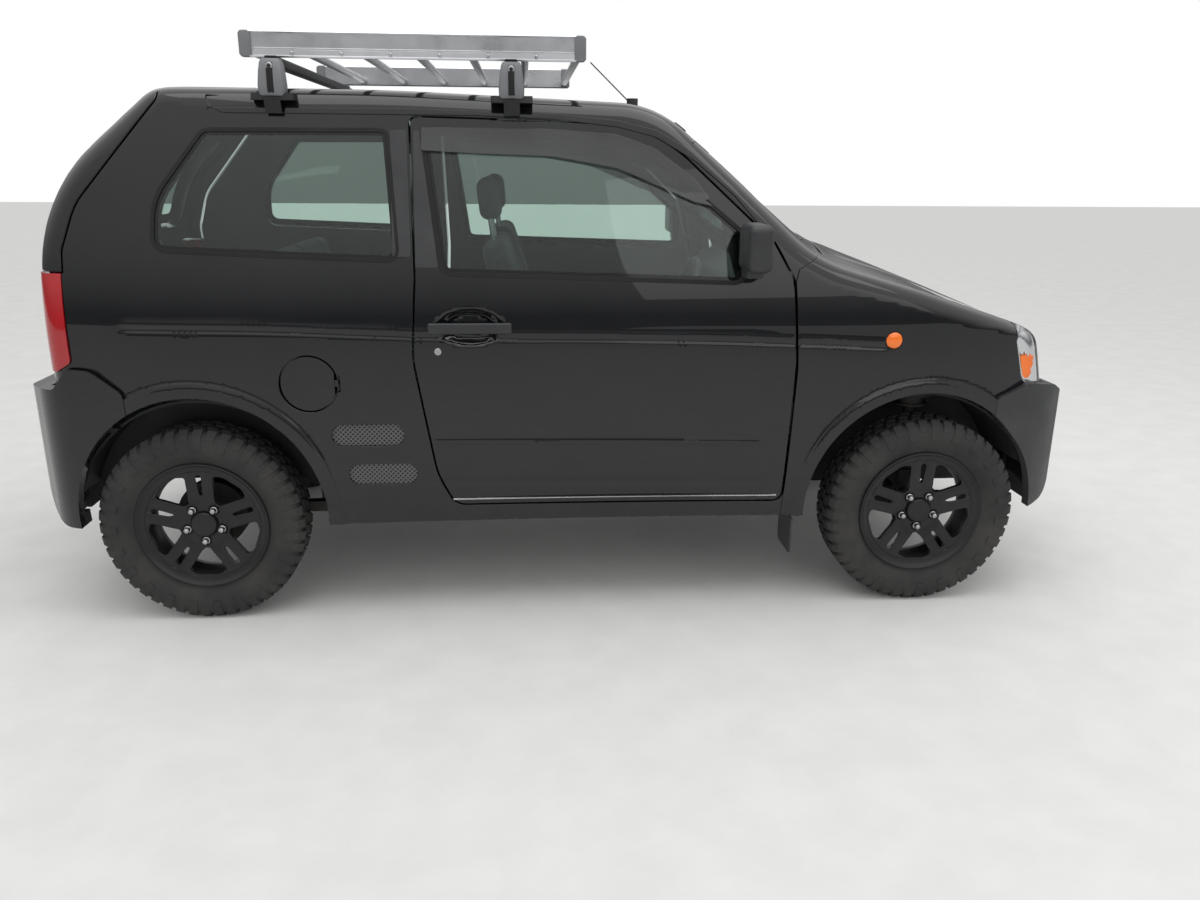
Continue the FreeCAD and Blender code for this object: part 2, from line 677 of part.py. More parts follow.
def sketch_on(body, name, role, loops):
    """Sketch on an origin plane with closed loops of straight and round edges."""
    sketch = body.newObject("Sketcher::SketchObject", name)
    sketch.AttachmentSupport = [(origin_plane(body, role), "")]
    sketch.MapMode = "FlatFace"
    for loop in loops:
        for edge in corner_path(sharp(loop), lambda a, b: V(a, b, 0)).Edges:
            curve = edge.Curve
            ends = [edge.valueAt(edge.FirstParameter), edge.valueAt(edge.LastParameter)]
            if isinstance(curve, Part.Circle):
                middle = edge.valueAt((edge.FirstParameter+edge.LastParameter)/2)
                sketch.addGeometry(Part.Arc(ends[0], middle, ends[1]), False)
            else:
                sketch.addGeometry(Part.LineSegment(*ends), False)
    return sketch


def revolve_body(name, loops):
    """Body whose profile (radius, across) turns about the local Y axis."""
    body = doc.addObject("PartDesign::Body", name)
    sketch = sketch_on(body, name+"_profile", "XY_Plane", loops)
    turned = body.newObject("PartDesign::Revolution", name+"_turned")
    turned.Profile = sketch
    turned.ReferenceAxis = (sketch, ["V_Axis"])
    turned.Angle = 360
    return body


def tyre_profile():
    outer_r, half, wall = S["tyre_radius"], S["tyre_half_width"], S["tyre_wall"]
    bead, rim_half = S["bead_radius"]+2.5, S["rim_half_width"]-8
    return [
        (bead, -rim_half, 0), (bead+20, -rim_half-0.6, 0), (bead+48, -half+6, 0), (bead+74, -half, 0),
        (outer_r-16, -half+8, 0), (outer_r, -half+26, 0), (outer_r, half-26, 0), (outer_r-16, half-8, 0),
        (bead+74, half, 0), (bead+48, half-6, 0), (bead+20, rim_half+0.6, 0), (bead, rim_half, 0),
        (bead, rim_half-wall, 0), (bead+72, half-wall, 0), (outer_r-wall-8, half-wall-22, 0),
        (outer_r-wall-8, -half+wall+22, 0), (bead+72, -half+wall, 0), (bead, -rim_half+wall, 0),
    ]


def rim_profile():
    flange, bead, half, wall = S["rim_flange_radius"], S["bead_radius"], S["rim_half_width"], S["rim_wall"]
    face, deep, hub, bore = S["spoke_face"], S["spoke_depth"], S["hub_radius"], S["spindle_radius"]
    bore = bore+S["shaft_clearance"]
    disc = S["disc_radius"]
    return [
        (0, -face+6, 0), (hub-6, -face+6, 0), (hub+20, -face, 10), (bead-wall-6, -face-4, 0),
        (bead-2, -half+4, 0), (flange-6, -half, 0), (flange, -half+2, 0), (flange, -half+6, 0),
        (bead+2, -half+7, 0), (bead, -half+26, 0), (bead-22, -28, 0), (bead-22, 10, 0), (bead, 38, 0),
        (bead+2, half-7, 0), (flange, half-5, 0), (flange, half, 0), (bead-4, half-2, 0),
        (bead-wall, 38, 0), (bead-22-wall, 12, 0), (bead-22-wall, -face+deep, 0), (hub, -face+deep, 0),
        (hub, 8, 0),
        (disc, 8, 0), (disc, 20, 0), (40, 20, 0), (40, 30, 0), (bore, 30, 0), (bore, -face+16, 0), (0, -face+16, 0),
    ]


def window_loop(r0, r1, half0, half1, angle, radius):
    """Four-cornered opening between two radii, turned by angle about the wheel axis."""
    c, s = math.cos(math.radians(angle)), math.sin(math.radians(angle))
    corners = [(-half0, r0), (half0, r0), (half1, r1), (-half1, r1)]
    return [(a*c-b*s, a*s+b*c, radius) for a, b in corners]


def make_wheel(side, x, y, turn):
    tyre = revolve_body("tyre_"+side, [tyre_profile()])
    rim = revolve_body("rim_"+side, [rim_profile()])
    doc.recompute()
    solid = rim.Tip.Shape.Volume
    plain = rim.newObject("Sketcher::SketchObject", "rim_"+side+"_window")
    plain.AttachmentSupport = [(origin_plane(rim, "XZ_Plane"), "")]
    plain.MapMode = "FlatFace"
    plain.AttachmentOffset = FreeCAD.Placement(V(0, 0, 20), FreeCAD.Rotation())
    r0, r1 = S["hub_radius"]+12, S["bead_radius"]-32
    for loop in (window_loop(r0, r1, 12, 38, 36, 8), window_loop(r0+14, r1, 3.5, 9, 0, 3)):
        for edge in corner_path(loop, lambda a, b: V(a, b, 0)).Edges:
            ends = [edge.valueAt(edge.FirstParameter), edge.valueAt(edge.LastParameter)]
            if isinstance(edge.Curve, Part.Circle):
                middle = edge.valueAt((edge.FirstParameter+edge.LastParameter)/2)
                plain.addGeometry(Part.Arc(ends[0], middle, ends[1]), False)
            else:
                plain.addGeometry(Part.LineSegment(*ends), False)
    cut = rim.newObject("PartDesign::Pocket", "rim_"+side+"_cut")
    cut.Profile = plain
    cut.Type = "Length"
    cut.setExpression("Length", "sizes.spoke_face + 10")
    cut.Midplane = False
    cut.Reversed = True
    doc.recompute()
    if cut.Shape.Volume > solid-1:
        cut.Reversed = False
        doc.recompute()
    ring = rim.newObject("PartDesign::PolarPattern", "rim_"+side+"_pattern")
    ring.Originals = [cut]
    ring.Axis = (origin_plane(rim, "Y_Axis"), [""])
    ring.Angle = 360
    ring.Occurrences = 5
    rim.Tip = ring
    doc.recompute()
    print("rim", side, round(solid/1e6, 3), round(cut.Shape.Volume/1e6, 3), round(ring.Shape.Volume/1e6, 3))
    for body in (tyre, rim):
        body.Label = body.Name
        body.Placement.Rotation = FreeCAD.Rotation(V(0, 0, 1), turn)
        bind(body, Placement_Base_x=x, Placement_Base_y=y, Placement_Base_z="sizes.tyre_radius")
        nodes.append(body)


WHEELS = [
    ("front_right", "sizes.wheelbase / 2", "-sizes.track_half", 0),
    ("front_left", "sizes.wheelbase / 2", "sizes.track_half", 180),
    ("rear_right", "-sizes.wheelbase / 2", "-sizes.track_half", 0),
    ("rear_left", "-sizes.wheelbase / 2", "sizes.track_half", 180),
]
for side, x, y, turn in WHEELS:
    make_wheel(side, x, y, turn)

# Floor, wheelhouses and the structure under the skin
skirt, sheet_t, apron = S["skirt_z"], S["sheet_thick"], S["apron_half"]
wall_x, floor_rear, deck_rear = S["firewall_x"], S["front_floor_rear_x"], S["deck_rear_x"]
deck_z, deck_half = S["deck_z"], S["deck_half"]
liner_r = S["wheelhouse_radius"]
sill_half = S["body_half"]-S["side_wall"]-11


def wheel_liner(x, inner_y, outer_y, low):
    """Half ring over a wheel, open towards the outside."""
    ring = rod(liner_r+8, (x, -outer_y, S["tyre_radius"]), (x, -inner_y, S["tyre_radius"]))
    ring = ring.cut(rod(liner_r, (x, -outer_y-5, S["tyre_radius"]), (x, -inner_y+5, S["tyre_radius"])))
    return ring.common(box(x-600, x+600, -800, 0, low, 1000))


rear_liner = wheel_liner(-AXLE, deck_half, sill_half-14, deck_z-200)
rear_side_wall = rod(liner_r+8, (-AXLE, -deck_half-8, S["tyre_radius"]), (-AXLE, -deck_half, S["tyre_radius"]))
rear_side_wall = rear_side_wall.common(box(-1582, -700, -800, 0, deck_z-200, 1000))
wheel_gap = rod(liner_r, (-AXLE, -800, S["tyre_radius"]), (-AXLE, -deck_half-8, S["tyre_radius"]))
deck = box(deck_rear, floor_rear, -sill_half, sill_half, deck_z, deck_z+sheet_t)
floor_parts = [
    box(floor_rear-sheet_t, wall_x+sheet_t, -sill_half, sill_half, skirt-sheet_t, skirt),
    box(floor_rear-sheet_t, floor_rear, -sill_half+26, sill_half-26, skirt-sheet_t, deck_z+sheet_t),
    deck.cut(wheel_gap).cut(mirrored(wheel_gap)),
    box(wall_x, wall_x+sheet_t, -sill_half+14, sill_half-14, skirt-sheet_t, 1062),
    box(deck_rear-sheet_t, deck_rear, -LAMP_INNER, LAMP_INNER, skirt+20, 764),
    rear_liner, mirrored(rear_liner), rear_side_wall, mirrored(rear_side_wall),
]
floor_pan = fused(floor_parts)
node("floor_pan", floor_pan)
print("floor", len(floor_pan.Solids), round(floor_pan.Volume/1e6, 2))

front_x = wall_x+sheet_t
king_y = S["kingpin_half"]
front_liner = wheel_liner(AXLE, apron, sill_half-20, 470)
tower_top = 860
tower = rod(78, (AXLE, -king_y, 690), (AXLE, -king_y, tower_top))
tower_void = rod(68, (AXLE, -king_y, 500), (AXLE, -king_y, tower_top-sheet_t))
support_x = 1570
apron_wall = box(front_x, support_x, -apron, -apron+sheet_t, skirt, 735)
rail = box(front_x, support_x, -apron+sheet_t, -apron+70, skirt, skirt+70)
shaft_hole = rod(19, (AXLE, -apron-5, S["tyre_radius"]), (AXLE, -apron+80, S["tyre_radius"]))
half_frame = fused([front_liner, tower, apron_wall, rail]).cut(tower_void).cut(shaft_hole)
support = box(support_x, support_x+sheet_t, -480, 480, skirt, 735)
front_frame = fused([half_frame, mirrored(half_frame), support])
node("front_frame", front_frame)
print("front frame", len(front_frame.Solids))

# Engine block under the rear seat, fuel tank under the front floor
engine_top = "sizes.deck_z"
labelled(cell_box("engine", "sizes.engine_length", "sizes.engine_width", "sizes.engine_height",
                  "sizes.front_floor_rear_x - sizes.sheet_thick - sizes.engine_length - 20",
                  "-sizes.engine_width / 2", "sizes.deck_z - sizes.engine_height"))
labelled(cell_box("fuel_tank", "sizes.tank_length", "sizes.tank_width", "sizes.tank_height",
                  "-sizes.tank_length / 2", "-sizes.tank_width / 2",
                  "sizes.skirt_z - sizes.sheet_thick - sizes.tank_height"))

# Exhaust: silencer across the tail, pipe from the engine and a tailpipe
silencer = cell_rod("silencer", "72", "520", "-1460", "-260", "470", ALONG_Y)
engine_rear = "(sizes.front_floor_rear_x - sizes.sheet_thick - sizes.engine_length - 20)"
pipe = cell_rod("exhaust_pipe", "22", engine_rear+" + 1440 - sizes.seam", "-1440", "-120", "430", ALONG_X)
tailpipe = cell_rod("tailpipe", "20", "sizes.deck_rear_x * -1 - 1464", "sizes.deck_rear_x + 4", "-230", "430",
                    ALONG_X)
hanger = cell_box("silencer_hanger", "12", "60", "sizes.deck_z - 530", "-1466", "-30", "530")
union("exhaust", [silencer, pipe, tailpipe, hanger])

# Rear axle with trailing links and springs
axle_x, hub_z, spring_y = "-sizes.wheelbase / 2", "sizes.tyre_radius", 400
members = [
    cell_rod("axle_tube", "sizes.axle_tube_radius", "sizes.axle_half * 2", axle_x, "-sizes.axle_half", hub_z,
             ALONG_Y),
    cell_rod("axle_gear", "100", "150", axle_x+" - 75", "0", hub_z, ALONG_X),
]
for sign, tag in ((-1, "right"), (1, "left")):
    end = f"{sign} * sizes.axle_half - {0 if sign > 0 else 1} * sizes.spindle_reach"
    members += [
        cell_rod("drum_"+tag, "112", "46", axle_x, f"{sign} * (sizes.axle_half - 23) - 23", hub_z, ALONG_Y),
        cell_rod("spindle_"+tag, "sizes.spindle_radius", "sizes.spindle_reach + 28", axle_x,
                 f"{sign} * (sizes.axle_half + (sizes.spindle_reach + 28) / 2) - (sizes.spindle_reach + 28) / 2",
                 hub_z, ALONG_Y),
        cell_rod("spring_"+tag, "46", "sizes.deck_z - sizes.tyre_radius", axle_x, f"{sign} * 400", hub_z),
        cell_box("link_"+tag, "440", "36", "36", axle_x, f"{sign} * 440 - 18", "sizes.tyre_radius - 50"),
        cell_box("link_bracket_"+tag, "50", "50", "sizes.deck_z - sizes.tyre_radius + 50",
                 axle_x+" + 400", f"{sign} * 440 - 25", "sizes.tyre_radius - 50"),
    ]
union("rear_axle", members)

# Front suspension: cross member with lower arms and drive shafts
ARM = [(1090, -340, 0), (1270, -340, 0), (1206, -king_y-14, 16), (1154, -king_y-14, 16)]
arm_z, arm_t = 252, 24
arm = prism_z(ARM, arm_z, arm_z+arm_t).cut(rod(8.05, (AXLE, -king_y, 200), (AXLE, -king_y, 300)))
hub_level = S["tyre_radius"]
shaft = rod(14, (AXLE, -king_y+32, hub_level), (AXLE, 0, hub_level))
cross = box(1090, 1270, -345, 345, arm_z, skirt)
gear = rod(70, (AXLE-70, 0, hub_level), (AXLE+70, 0, hub_level))
suspension = fused([cross, gear, arm, mirrored(arm), shaft, mirrored(shaft)])
node("front_suspension", suspension)
print("suspension", len(suspension.Solids))


# Knuckles: upright, spindle, lower pin, steering lever and the strut on the steering axis
def make_knuckle():
    y = -king_y
    upright = box(AXLE-24, AXLE+24, y-34, y+16, arm_z+arm_t+0.3, 420)
    pin = rod(8, (AXLE, y, arm_z+2), (AXLE, y, arm_z+arm_t+20))
    spindle = rod(S["spindle_radius"], (AXLE, y, hub_level), (AXLE, -S["track_half"]-28, hub_level))
    flange = rod(36, (AXLE, y-20, hub_level), (AXLE, -S["track_half"]+30+6, hub_level))
    lever = box(AXLE-130, AXLE, y-16, y+16, 296, 314)
    strut = rod(21, (AXLE, y, 400), (AXLE, y, tower_top-sheet_t-0.3))
    seat = rod(56, (AXLE, y, 652), (AXLE, y, 660))
    coil = rod(46, (AXLE, y, 660), (AXLE, y, tower_top-sheet_t-0.3))
    return fused([upright, pin, spindle, flange, lever, strut, seat, coil])


knuckle = make_knuckle()
node("knuckle_right", knuckle)
node("knuckle_left", mirrored(knuckle))
print("knuckle", len(knuckle.Solids), knuckle.isValid())

# Cabin: dashboard with steering column, seats
COLUMN = (372, -330, 955)
TILT = math.radians(25)
away = (math.cos(TILT), 0, -math.sin(TILT))


def on_column(distance):
    return (COLUMN[0]+away[0]*distance, COLUMN[1], COLUMN[2]+away[2]*distance)


DASH = [(575, 905, 20), (590, 1045, 40), (690, 1088, 40), (wall_x-SEAM, 1078), (wall_x-SEAM, 790), (600, 790, 20)]
dash_half = sill_half-34
dash = prism_y(DASH, -dash_half, dash_half)
column_tube = rod(26, on_column(42), on_column(300))
column_shaft = rod(10, on_column(6), on_column(60))
dash = fused([dash, column_tube, column_shaft])
node("dashboard", dash)
rim_r = S["steering_wheel_radius"]
ring = Part.makeTorus(rim_r, S["steering_rim_radius"], V(*COLUMN), V(*away))
boss = rod(40, on_column(-14), on_column(34)).cut(rod(10.05, on_column(4), on_column(40)))
spokes = [Part.makeBox(2*rim_r, 34, 12, V(-rim_r, -17, -6)), Part.makeBox(rim_r, 30, 12, V(-rim_r, -15, -6))]
spokes[1].rotate(V(0, 0, 0), V(0, 0, 1), 90)
spokes = [s.common(Part.makeCylinder(rim_r, 40, V(0, 0, -20))) for s in spokes]
frame = FreeCAD.Placement(V(*COLUMN), FreeCAD.Rotation(V(0, 0, 1), V(*away)))
for spoke in spokes:
    spoke.rotate(V(0, 0, 0), V(0, 0, 1), 90)
    spoke.Placement = frame.multiply(spoke.Placement)
wheel = fused([ring, boss]+[s.cut(rod(10.05, on_column(4), on_column(40))) for s in spokes])
node("steering_wheel", wheel)
print("dash", len(dash.Solids), "steering wheel", len(wheel.Solids), [round(c) for c in wheel.BoundBox.Center])

SEAT_BASE = [(-20, skirt), (360, skirt), (360, 582), (-20, 582)]
SEAT_CUSHION = [(-90, 560, 20), (400, 570, 40), (420, 690, 50), (-10, 670, 20), (-90, 640, 20)]
SEAT_BACK = [(-90, 600), (-22, 600), (-60, 800, 60), (-196, 1205, 32), (-276, 1190, 32), (-180, 700, 60)]
HEAD_REST = [(-212, 1262, 30), (-222, 1398, 36), (-300, 1392, 36), (-284, 1255, 30)]
SEAT_POST = [(-244, 1180), (-236, 1180), (-250, 1300), (-258, 1300)]
seat_pieces = [
    prism_y(SEAT_BASE, -520, -160), prism_y(SEAT_CUSHION, -575, -110), prism_y(SEAT_BACK, -570, -115),
    prism_y(HEAD_REST, -465, -220), prism_y(SEAT_POST, -440, -426), prism_y(SEAT_POST, -259, -245),
]
front_seat = fused(seat_pieces)
node("front_seats", both_sides(front_seat))
print("front seat", len(front_seat.Solids))
REAR_CUSHION = [(-840, 632.3, 10), (-420, 632.3, 30), (-400, 760, 50), (-840, 730, 20)]
REAR_BACK = [(-846, 640, 10), (-846, 735, 10), (-960, 1150, 40), (-1040, 1130, 30), (-930, 640, 10)]
rear_seat = fused([prism_y(REAR_CUSHION, -500, 500), prism_y(REAR_BACK, -500, 500),
                   box(-850, -838, -480, 480, 650, 720)])
node("rear_seat", rear_seat)
print("rear seat", len(rear_seat.Solids))

# Mirrors and handles on the doors
mirror_case = box(509, 584, -884, -724, 1134, 1274)
mirror_case = mirror_case.makeFillet(24, mirror_case.Edges)
mirror_foot = prism_z([(530, -640, 0), (640, -640, 0), (600, -700, 10), (572, -800, 10), (524, -800, 10)], 1112, 1150)
mirror_foot = keep_solids(mirror_foot.cut(outer), 100)
mirror = fused([mirror_case, mirror_foot])
node("mirror_right", mirror)
node("mirror_left", mirrored(mirror))
print("mirror", len(mirror.Solids), mirror.isValid())
grip_out, grip_in = -S["body_half"]-7, -S["body_half"]+26
handle_bar = box(-438, -183, grip_out, grip_out+14, 938, 972)
handle_bar = handle_bar.makeFillet(6, handle_bar.Edges)
handle = fused([handle_bar, box(-432, -396, grip_out+6, grip_in, 942, 968),
                box(-222, -192, grip_out+6, grip_in, 942, 968)])
node("door_handle_right", handle)
node("door_handle_left", mirrored(handle))

# Fuel lid: its small hinge lies in the gap at the front edge, in the thickness of the skin
lid_disc = outer.common(rod(lid_radius, (FUEL_X, -800, FUEL_Z), (FUEL_X, -600, FUEL_Z))).cut(side_form(6))
lid_disc = lid_disc.cut(box(lid_hinge_x-10, lid_hinge_x+20, -800, -600, FUEL_Z-60, FUEL_Z+60))
lid_pin = rod(1.6, (lid_hinge_x, lid_hinge_y, FUEL_Z-20), (lid_hinge_x, lid_hinge_y, FUEL_Z+20))
lid_tab = box(lid_hinge_x-18, lid_hinge_x, lid_hinge_y-1.6, lid_hinge_y+1.6, FUEL_Z-10, FUEL_Z+10)
fuel_lid = fused([keep_solids(lid_disc), lid_pin, lid_tab])
node("fuel_lid", fuel_lid)
lid_leaves = []
for low in (-20, 11):
    leaf = rod(2.4, (lid_hinge_x, lid_hinge_y, FUEL_Z+low), (lid_hinge_x, lid_hinge_y, FUEL_Z+low+9))
    web = box(lid_hinge_x, lid_hinge_x+9, lid_hinge_y-1.6, lid_hinge_y+1.6, FUEL_Z+low, FUEL_Z+low+9)
    bore = rod(1.65, (lid_hinge_x, lid_hinge_y, FUEL_Z-30), (lid_hinge_x, lid_hinge_y, FUEL_Z+30))
    lid_leaves.append(fused([leaf, web]).cut(bore).cut(side_right))
print("fuel lid", len(fuel_lid.Solids), [len(s.Solids) for s in lid_leaves])

# Side vents, mud flaps
vent_nets = [keep_solids(shell.common(prism_y(v, -900, -600, -SEAM)).cut(side_form(24)).common(side_form(6)))
             for v in VENTS]
node("side_vents", Part.makeCompound([both_sides(v) for v in vent_nets]))
flap_top = skirt-sheet_t
flap_shape = prism_x([(-716, 178, 20), (-716, flap_top), (-560, flap_top), (-560, 178, 20)], 736, 742)
node("mud_flaps", both_sides(flap_shape))
print("vents", [len(v.Solids) for v in vent_nets])


# Roof rack: two cross bars on clamped feet, ladder frame on top
bar_xs = [S["rack_bar_x_front"], S["rack_bar_x_rear"]]
bar_z, bar_h, bar_d, bar_half = S["rack_bar_z"], S["rack_bar_height"], S["rack_bar_depth"], S["rack_bar_half"]
FOOT = [(-544, bar_z), (-626, bar_z, 8), (-636, 1650, 20), (-622, 1578, 4), (-600, 1578), (-548, 1640, 10)]
bar_pieces = []
for x in bar_xs:
    foot = keep_solids(prism_x(FOOT, x-30, x+30).cut(outer), 1000)
    beam = box(x-bar_d/2, x+bar_d/2, -bar_half, bar_half, bar_z, bar_z+bar_h)
    bar_pieces.append(fused([beam, foot, mirrored(foot)]))
node("rack_bars", Part.makeCompound(bar_pieces))
rail_z = bar_z+bar_h
rail_h, rail_t, rack_y = S["rail_height"], S["rail_thick"], S["rack_half"]
rail_len = (S["rack_rear_x"], S["rack_front_x"])
web = box(*rail_len, -rack_y, -rack_y+rail_t/2, rail_z, rail_z+rail_h)
flanges = [box(*rail_len, -rack_y-rail_t/2, -rack_y+rail_t, z, z+5) for z in (rail_z, rail_z+rail_h-5)]
rungs = []
rung_n = int(S["rung_count"])
for i in range(rung_n):
    x = rail_len[0]+22+(rail_len[1]-rail_len[0]-44)*i/(rung_n-1)
    z = rail_z+rail_h-S["rung_drop"]
    rungs.append(rod(S["rung_radius"], (x, -rack_y+2, z), (x, rack_y-2, z)))
ladder = fused([web, mirrored(web)]+flanges+[mirrored(f) for f in flanges]+rungs)
node("rack_frame", ladder)
print("rack", [len(b.Solids) for b in bar_pieces], len(ladder.Solids))

# Antenna, wipers' pivot and key parts that stand on the panels
antenna_base = rod(18, (212, -400, 1600), (212, -400, 1640)).cut(outer)
mast = rod(2, (210, -400, 1622), (210-S["mast_length"]*0.73, -400, 1622+S["mast_length"]*0.68))
antenna = fused([keep_solids(antenna_base, 100), keep_solids(mast.cut(outer), 100)])
node("antenna", antenna)
print("antenna", len(antenna.Solids))

# Hinge leaves are fixed to the body
leaves = [keep_solids(leaf.cut(fender).cut(side_right), 1000) for leaf in hinge_leaves]
node("door_hinges", both_sides(Part.makeCompound(leaves)))
gate_leaf = keep_solids(gate_leaf.cut(roof), 1000)
lid_parts = [gate_leaf, mirrored(gate_leaf)]
for leaf in bonnet_leaves:
    leaf = keep_solids(mirrored(leaf).cut(fender), 20)
    lid_parts += [leaf, mirrored(leaf)]
node("lid_hinges", Part.makeCompound(lid_parts+[keep_solids(leaf, 20) for leaf in lid_leaves]))

doc.recompute()
for obj in doc.Objects:
    bad = [state for state in obj.State if state in ("Invalid", "Error")]
    if bad:
        raise ValueError(f"{obj.Label} {bad}")
for piece in nodes:
    shape = piece.Shape
    if shape.isNull() or not shape.isValid():
        raise ValueError(f"{piece.Label} has no sound shape")
    shape.exportStep(f"parts/{piece.Label}.step")
    print(f"{piece.Label:20s} solids {len(shape.Solids):2d}  volume {shape.Volume/1e6:8.3f}")
print(len(nodes), "nodes")
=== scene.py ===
import bpy
import bmesh
import math
import numpy as np
from mathutils import Matrix, Vector
from mathutils.geometry import delaunay_2d_cdt


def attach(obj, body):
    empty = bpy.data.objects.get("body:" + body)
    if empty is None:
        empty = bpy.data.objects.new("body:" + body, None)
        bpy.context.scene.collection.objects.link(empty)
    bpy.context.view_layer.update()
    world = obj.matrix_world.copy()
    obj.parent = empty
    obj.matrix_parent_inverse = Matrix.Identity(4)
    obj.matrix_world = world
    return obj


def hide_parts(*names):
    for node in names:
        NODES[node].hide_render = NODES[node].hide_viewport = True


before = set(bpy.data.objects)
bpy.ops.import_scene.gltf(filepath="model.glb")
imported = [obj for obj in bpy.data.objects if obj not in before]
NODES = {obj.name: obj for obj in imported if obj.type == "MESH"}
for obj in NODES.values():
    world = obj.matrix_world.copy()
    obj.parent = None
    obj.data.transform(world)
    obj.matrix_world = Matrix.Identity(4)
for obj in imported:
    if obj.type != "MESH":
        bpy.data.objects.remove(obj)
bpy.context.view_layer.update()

MM = 0.001
SIDES = (("right", -1), ("left", 1))
# For each straight view, the two axes that show and the axis that points at the viewer
AXES = {"y": (0, 2), "z": (0, 1), "x": (1, 2)}
NEAR = {"y": 1, "z": 2, "x": 0}

# Curves and outlines, in millimetres


def cubic(points):
    """Natural cubic curve y(x) through points, flat beyond its ends."""
    xs, ys = np.array(points, float).T
    n, h = len(xs), np.diff(xs)
    a, r = np.eye(n), np.zeros(n)
    for i in range(1, n-1):
        a[i, i-1], a[i, i], a[i, i+1] = h[i-1], 2*(h[i-1]+h[i]), h[i]
        r[i] = 6*((ys[i+1]-ys[i])/h[i]-(ys[i]-ys[i-1])/h[i-1])
    m = np.linalg.solve(a, r)

    def at(x):
        x = np.clip(x, xs[0], xs[-1])
        i = np.clip(np.searchsorted(xs, x)-1, 0, n-2)
        t, k = x-xs[i], h[i]
        rise = (ys[i+1]-ys[i])/k-k*(2*m[i]+m[i+1])/6
        return ys[i]+t*rise+t*t*m[i]/2+t**3*(m[i+1]-m[i])/(6*k)
    return at


def rounded(points, step=14, counts=None):
    """Closed outline through (a, b, radius) corners as points, about step apart or by fixed counts."""
    pts = [(p[0], p[1], p[2] if len(p) > 2 else 0) for p in points]
    arcs = []
    for i, (a1, b1, radius) in enumerate(pts):
        p0, p1, p2 = np.array(pts[i-1][:2]), np.array((a1, b1)), np.array(pts[(i+1) % len(pts)][:2])
        u, w = p0-p1, p2-p1
        u, w = u/np.hypot(*u), w/np.hypot(*w)
        if radius <= 0:
            arcs.append([p1])
            continue
        half = math.acos(np.clip(u @ w, -1, 1))/2
        reach, away = radius/math.tan(half), radius/math.sin(half)
        mid = (u+w)/np.hypot(*(u+w))
        centre = p1+mid*away
        s, e = p1+u*reach-centre, p1+w*reach-centre
        turn = math.atan2(s[0]*e[1]-s[1]*e[0], s @ e)
        n = counts[0] if counts else max(3, int(abs(turn)*radius/step)+2)
        start = math.atan2(s[1], s[0])
        arcs.append([centre+radius*np.array((math.cos(start+turn*k/(n-1)), math.sin(start+turn*k/(n-1))))
                     for k in range(n)])
    out = []
    for i, arc in enumerate(arcs):
        out += arc
        p, q = arc[-1], arcs[(i+1) % len(arcs)][0]
        n = counts[1] if counts else int(np.hypot(*(q-p))/step)
        out += [p+(q-p)*k/n for k in range(1, n)]
    return np.array(out)


def grown(loop, by):
    """A closed outline moved outwards by a distance."""
    area = np.sum(loop[:, 0]*np.roll(loop[:, 1], -1)-loop[:, 1]*np.roll(loop[:, 0], -1))
    ahead, back = np.roll(loop, -1, 0)-loop, loop-np.roll(loop, 1, 0)
    ahead /= np.maximum(np.hypot(*ahead.T), 1e-9)[:, None]
    back /= np.maximum(np.hypot(*back.T), 1e-9)[:, None]
    n = np.stack((ahead[:, 1]+back[:, 1], -ahead[:, 0]-back[:, 0]), 1)*np.sign(area)
    size = np.hypot(*n.T)
    n /= np.maximum(size*size/2, 0.6)[:, None]
    return loop+n*by


def inside(loop, a, b):
    """Which points (a, b) lie inside a closed outline."""
    hit = np.zeros(len(a), bool)
    p, q = loop, np.roll(loop, -1, 0)
    for (x0, y0), (x1, y1) in zip(p, q):
        if y0 == y1:
            continue
        cross = ((y0 > b) != (y1 > b)) & (a < (x1-x0)*(b-y0)/(y1-y0)+x0)
        hit ^= cross
    return hit


def smooth(a, b, t):
    """Step from 0 at a to 1 at b, soft at both ends."""
    t = np.clip((t-a)/(b-a), 0, 1)
    return t*t*(3-2*t)


# The body's skin as one implicit form
BODY_HALF, EDGE, MID_Z = 738.0, 62.0, 900.0
DRAWN = cubic([(-1760, 86), (-1300, 11), (-500, 0), (500, 0), (1250, 13), (1760, 124)])
LEAN = cubic([(200, 58), (330, 29), (450, 9), (560, 3), (740, 0), (880, 1), (985, 6), (1080, 20), (1160, 37),
              (1300, 70), (1440, 103), (1560, 132), (1800, 190)])
TOP = [
    (-1640, 200, -1570, 200, 0), (-1640, 1333, -1571, 1320, 520), (-1250, 1671, -1210, 1622, 90),
    (-560, 1667, -560, 1626, 8000), (302, 1633, 244, 1593, 350), (848, 1194, 752, 1138, 500),
    (1210, 1062, 1130, 1045, 3500), (1594, 893, 1515, 938, 80), (1652, 640, 1585, 640, 200),
    (1652, 200, 1585, 200, 0),
]
ANGLES, WIDTHS = 1440, 17
TOP_HALF = 780.0
BLUR, BLUR_REACH = 2.2, 8
NUDGE, TURN = 2.0, 0.002
FAR, HALVINGS = 2600.0, 24
START_Z = 500


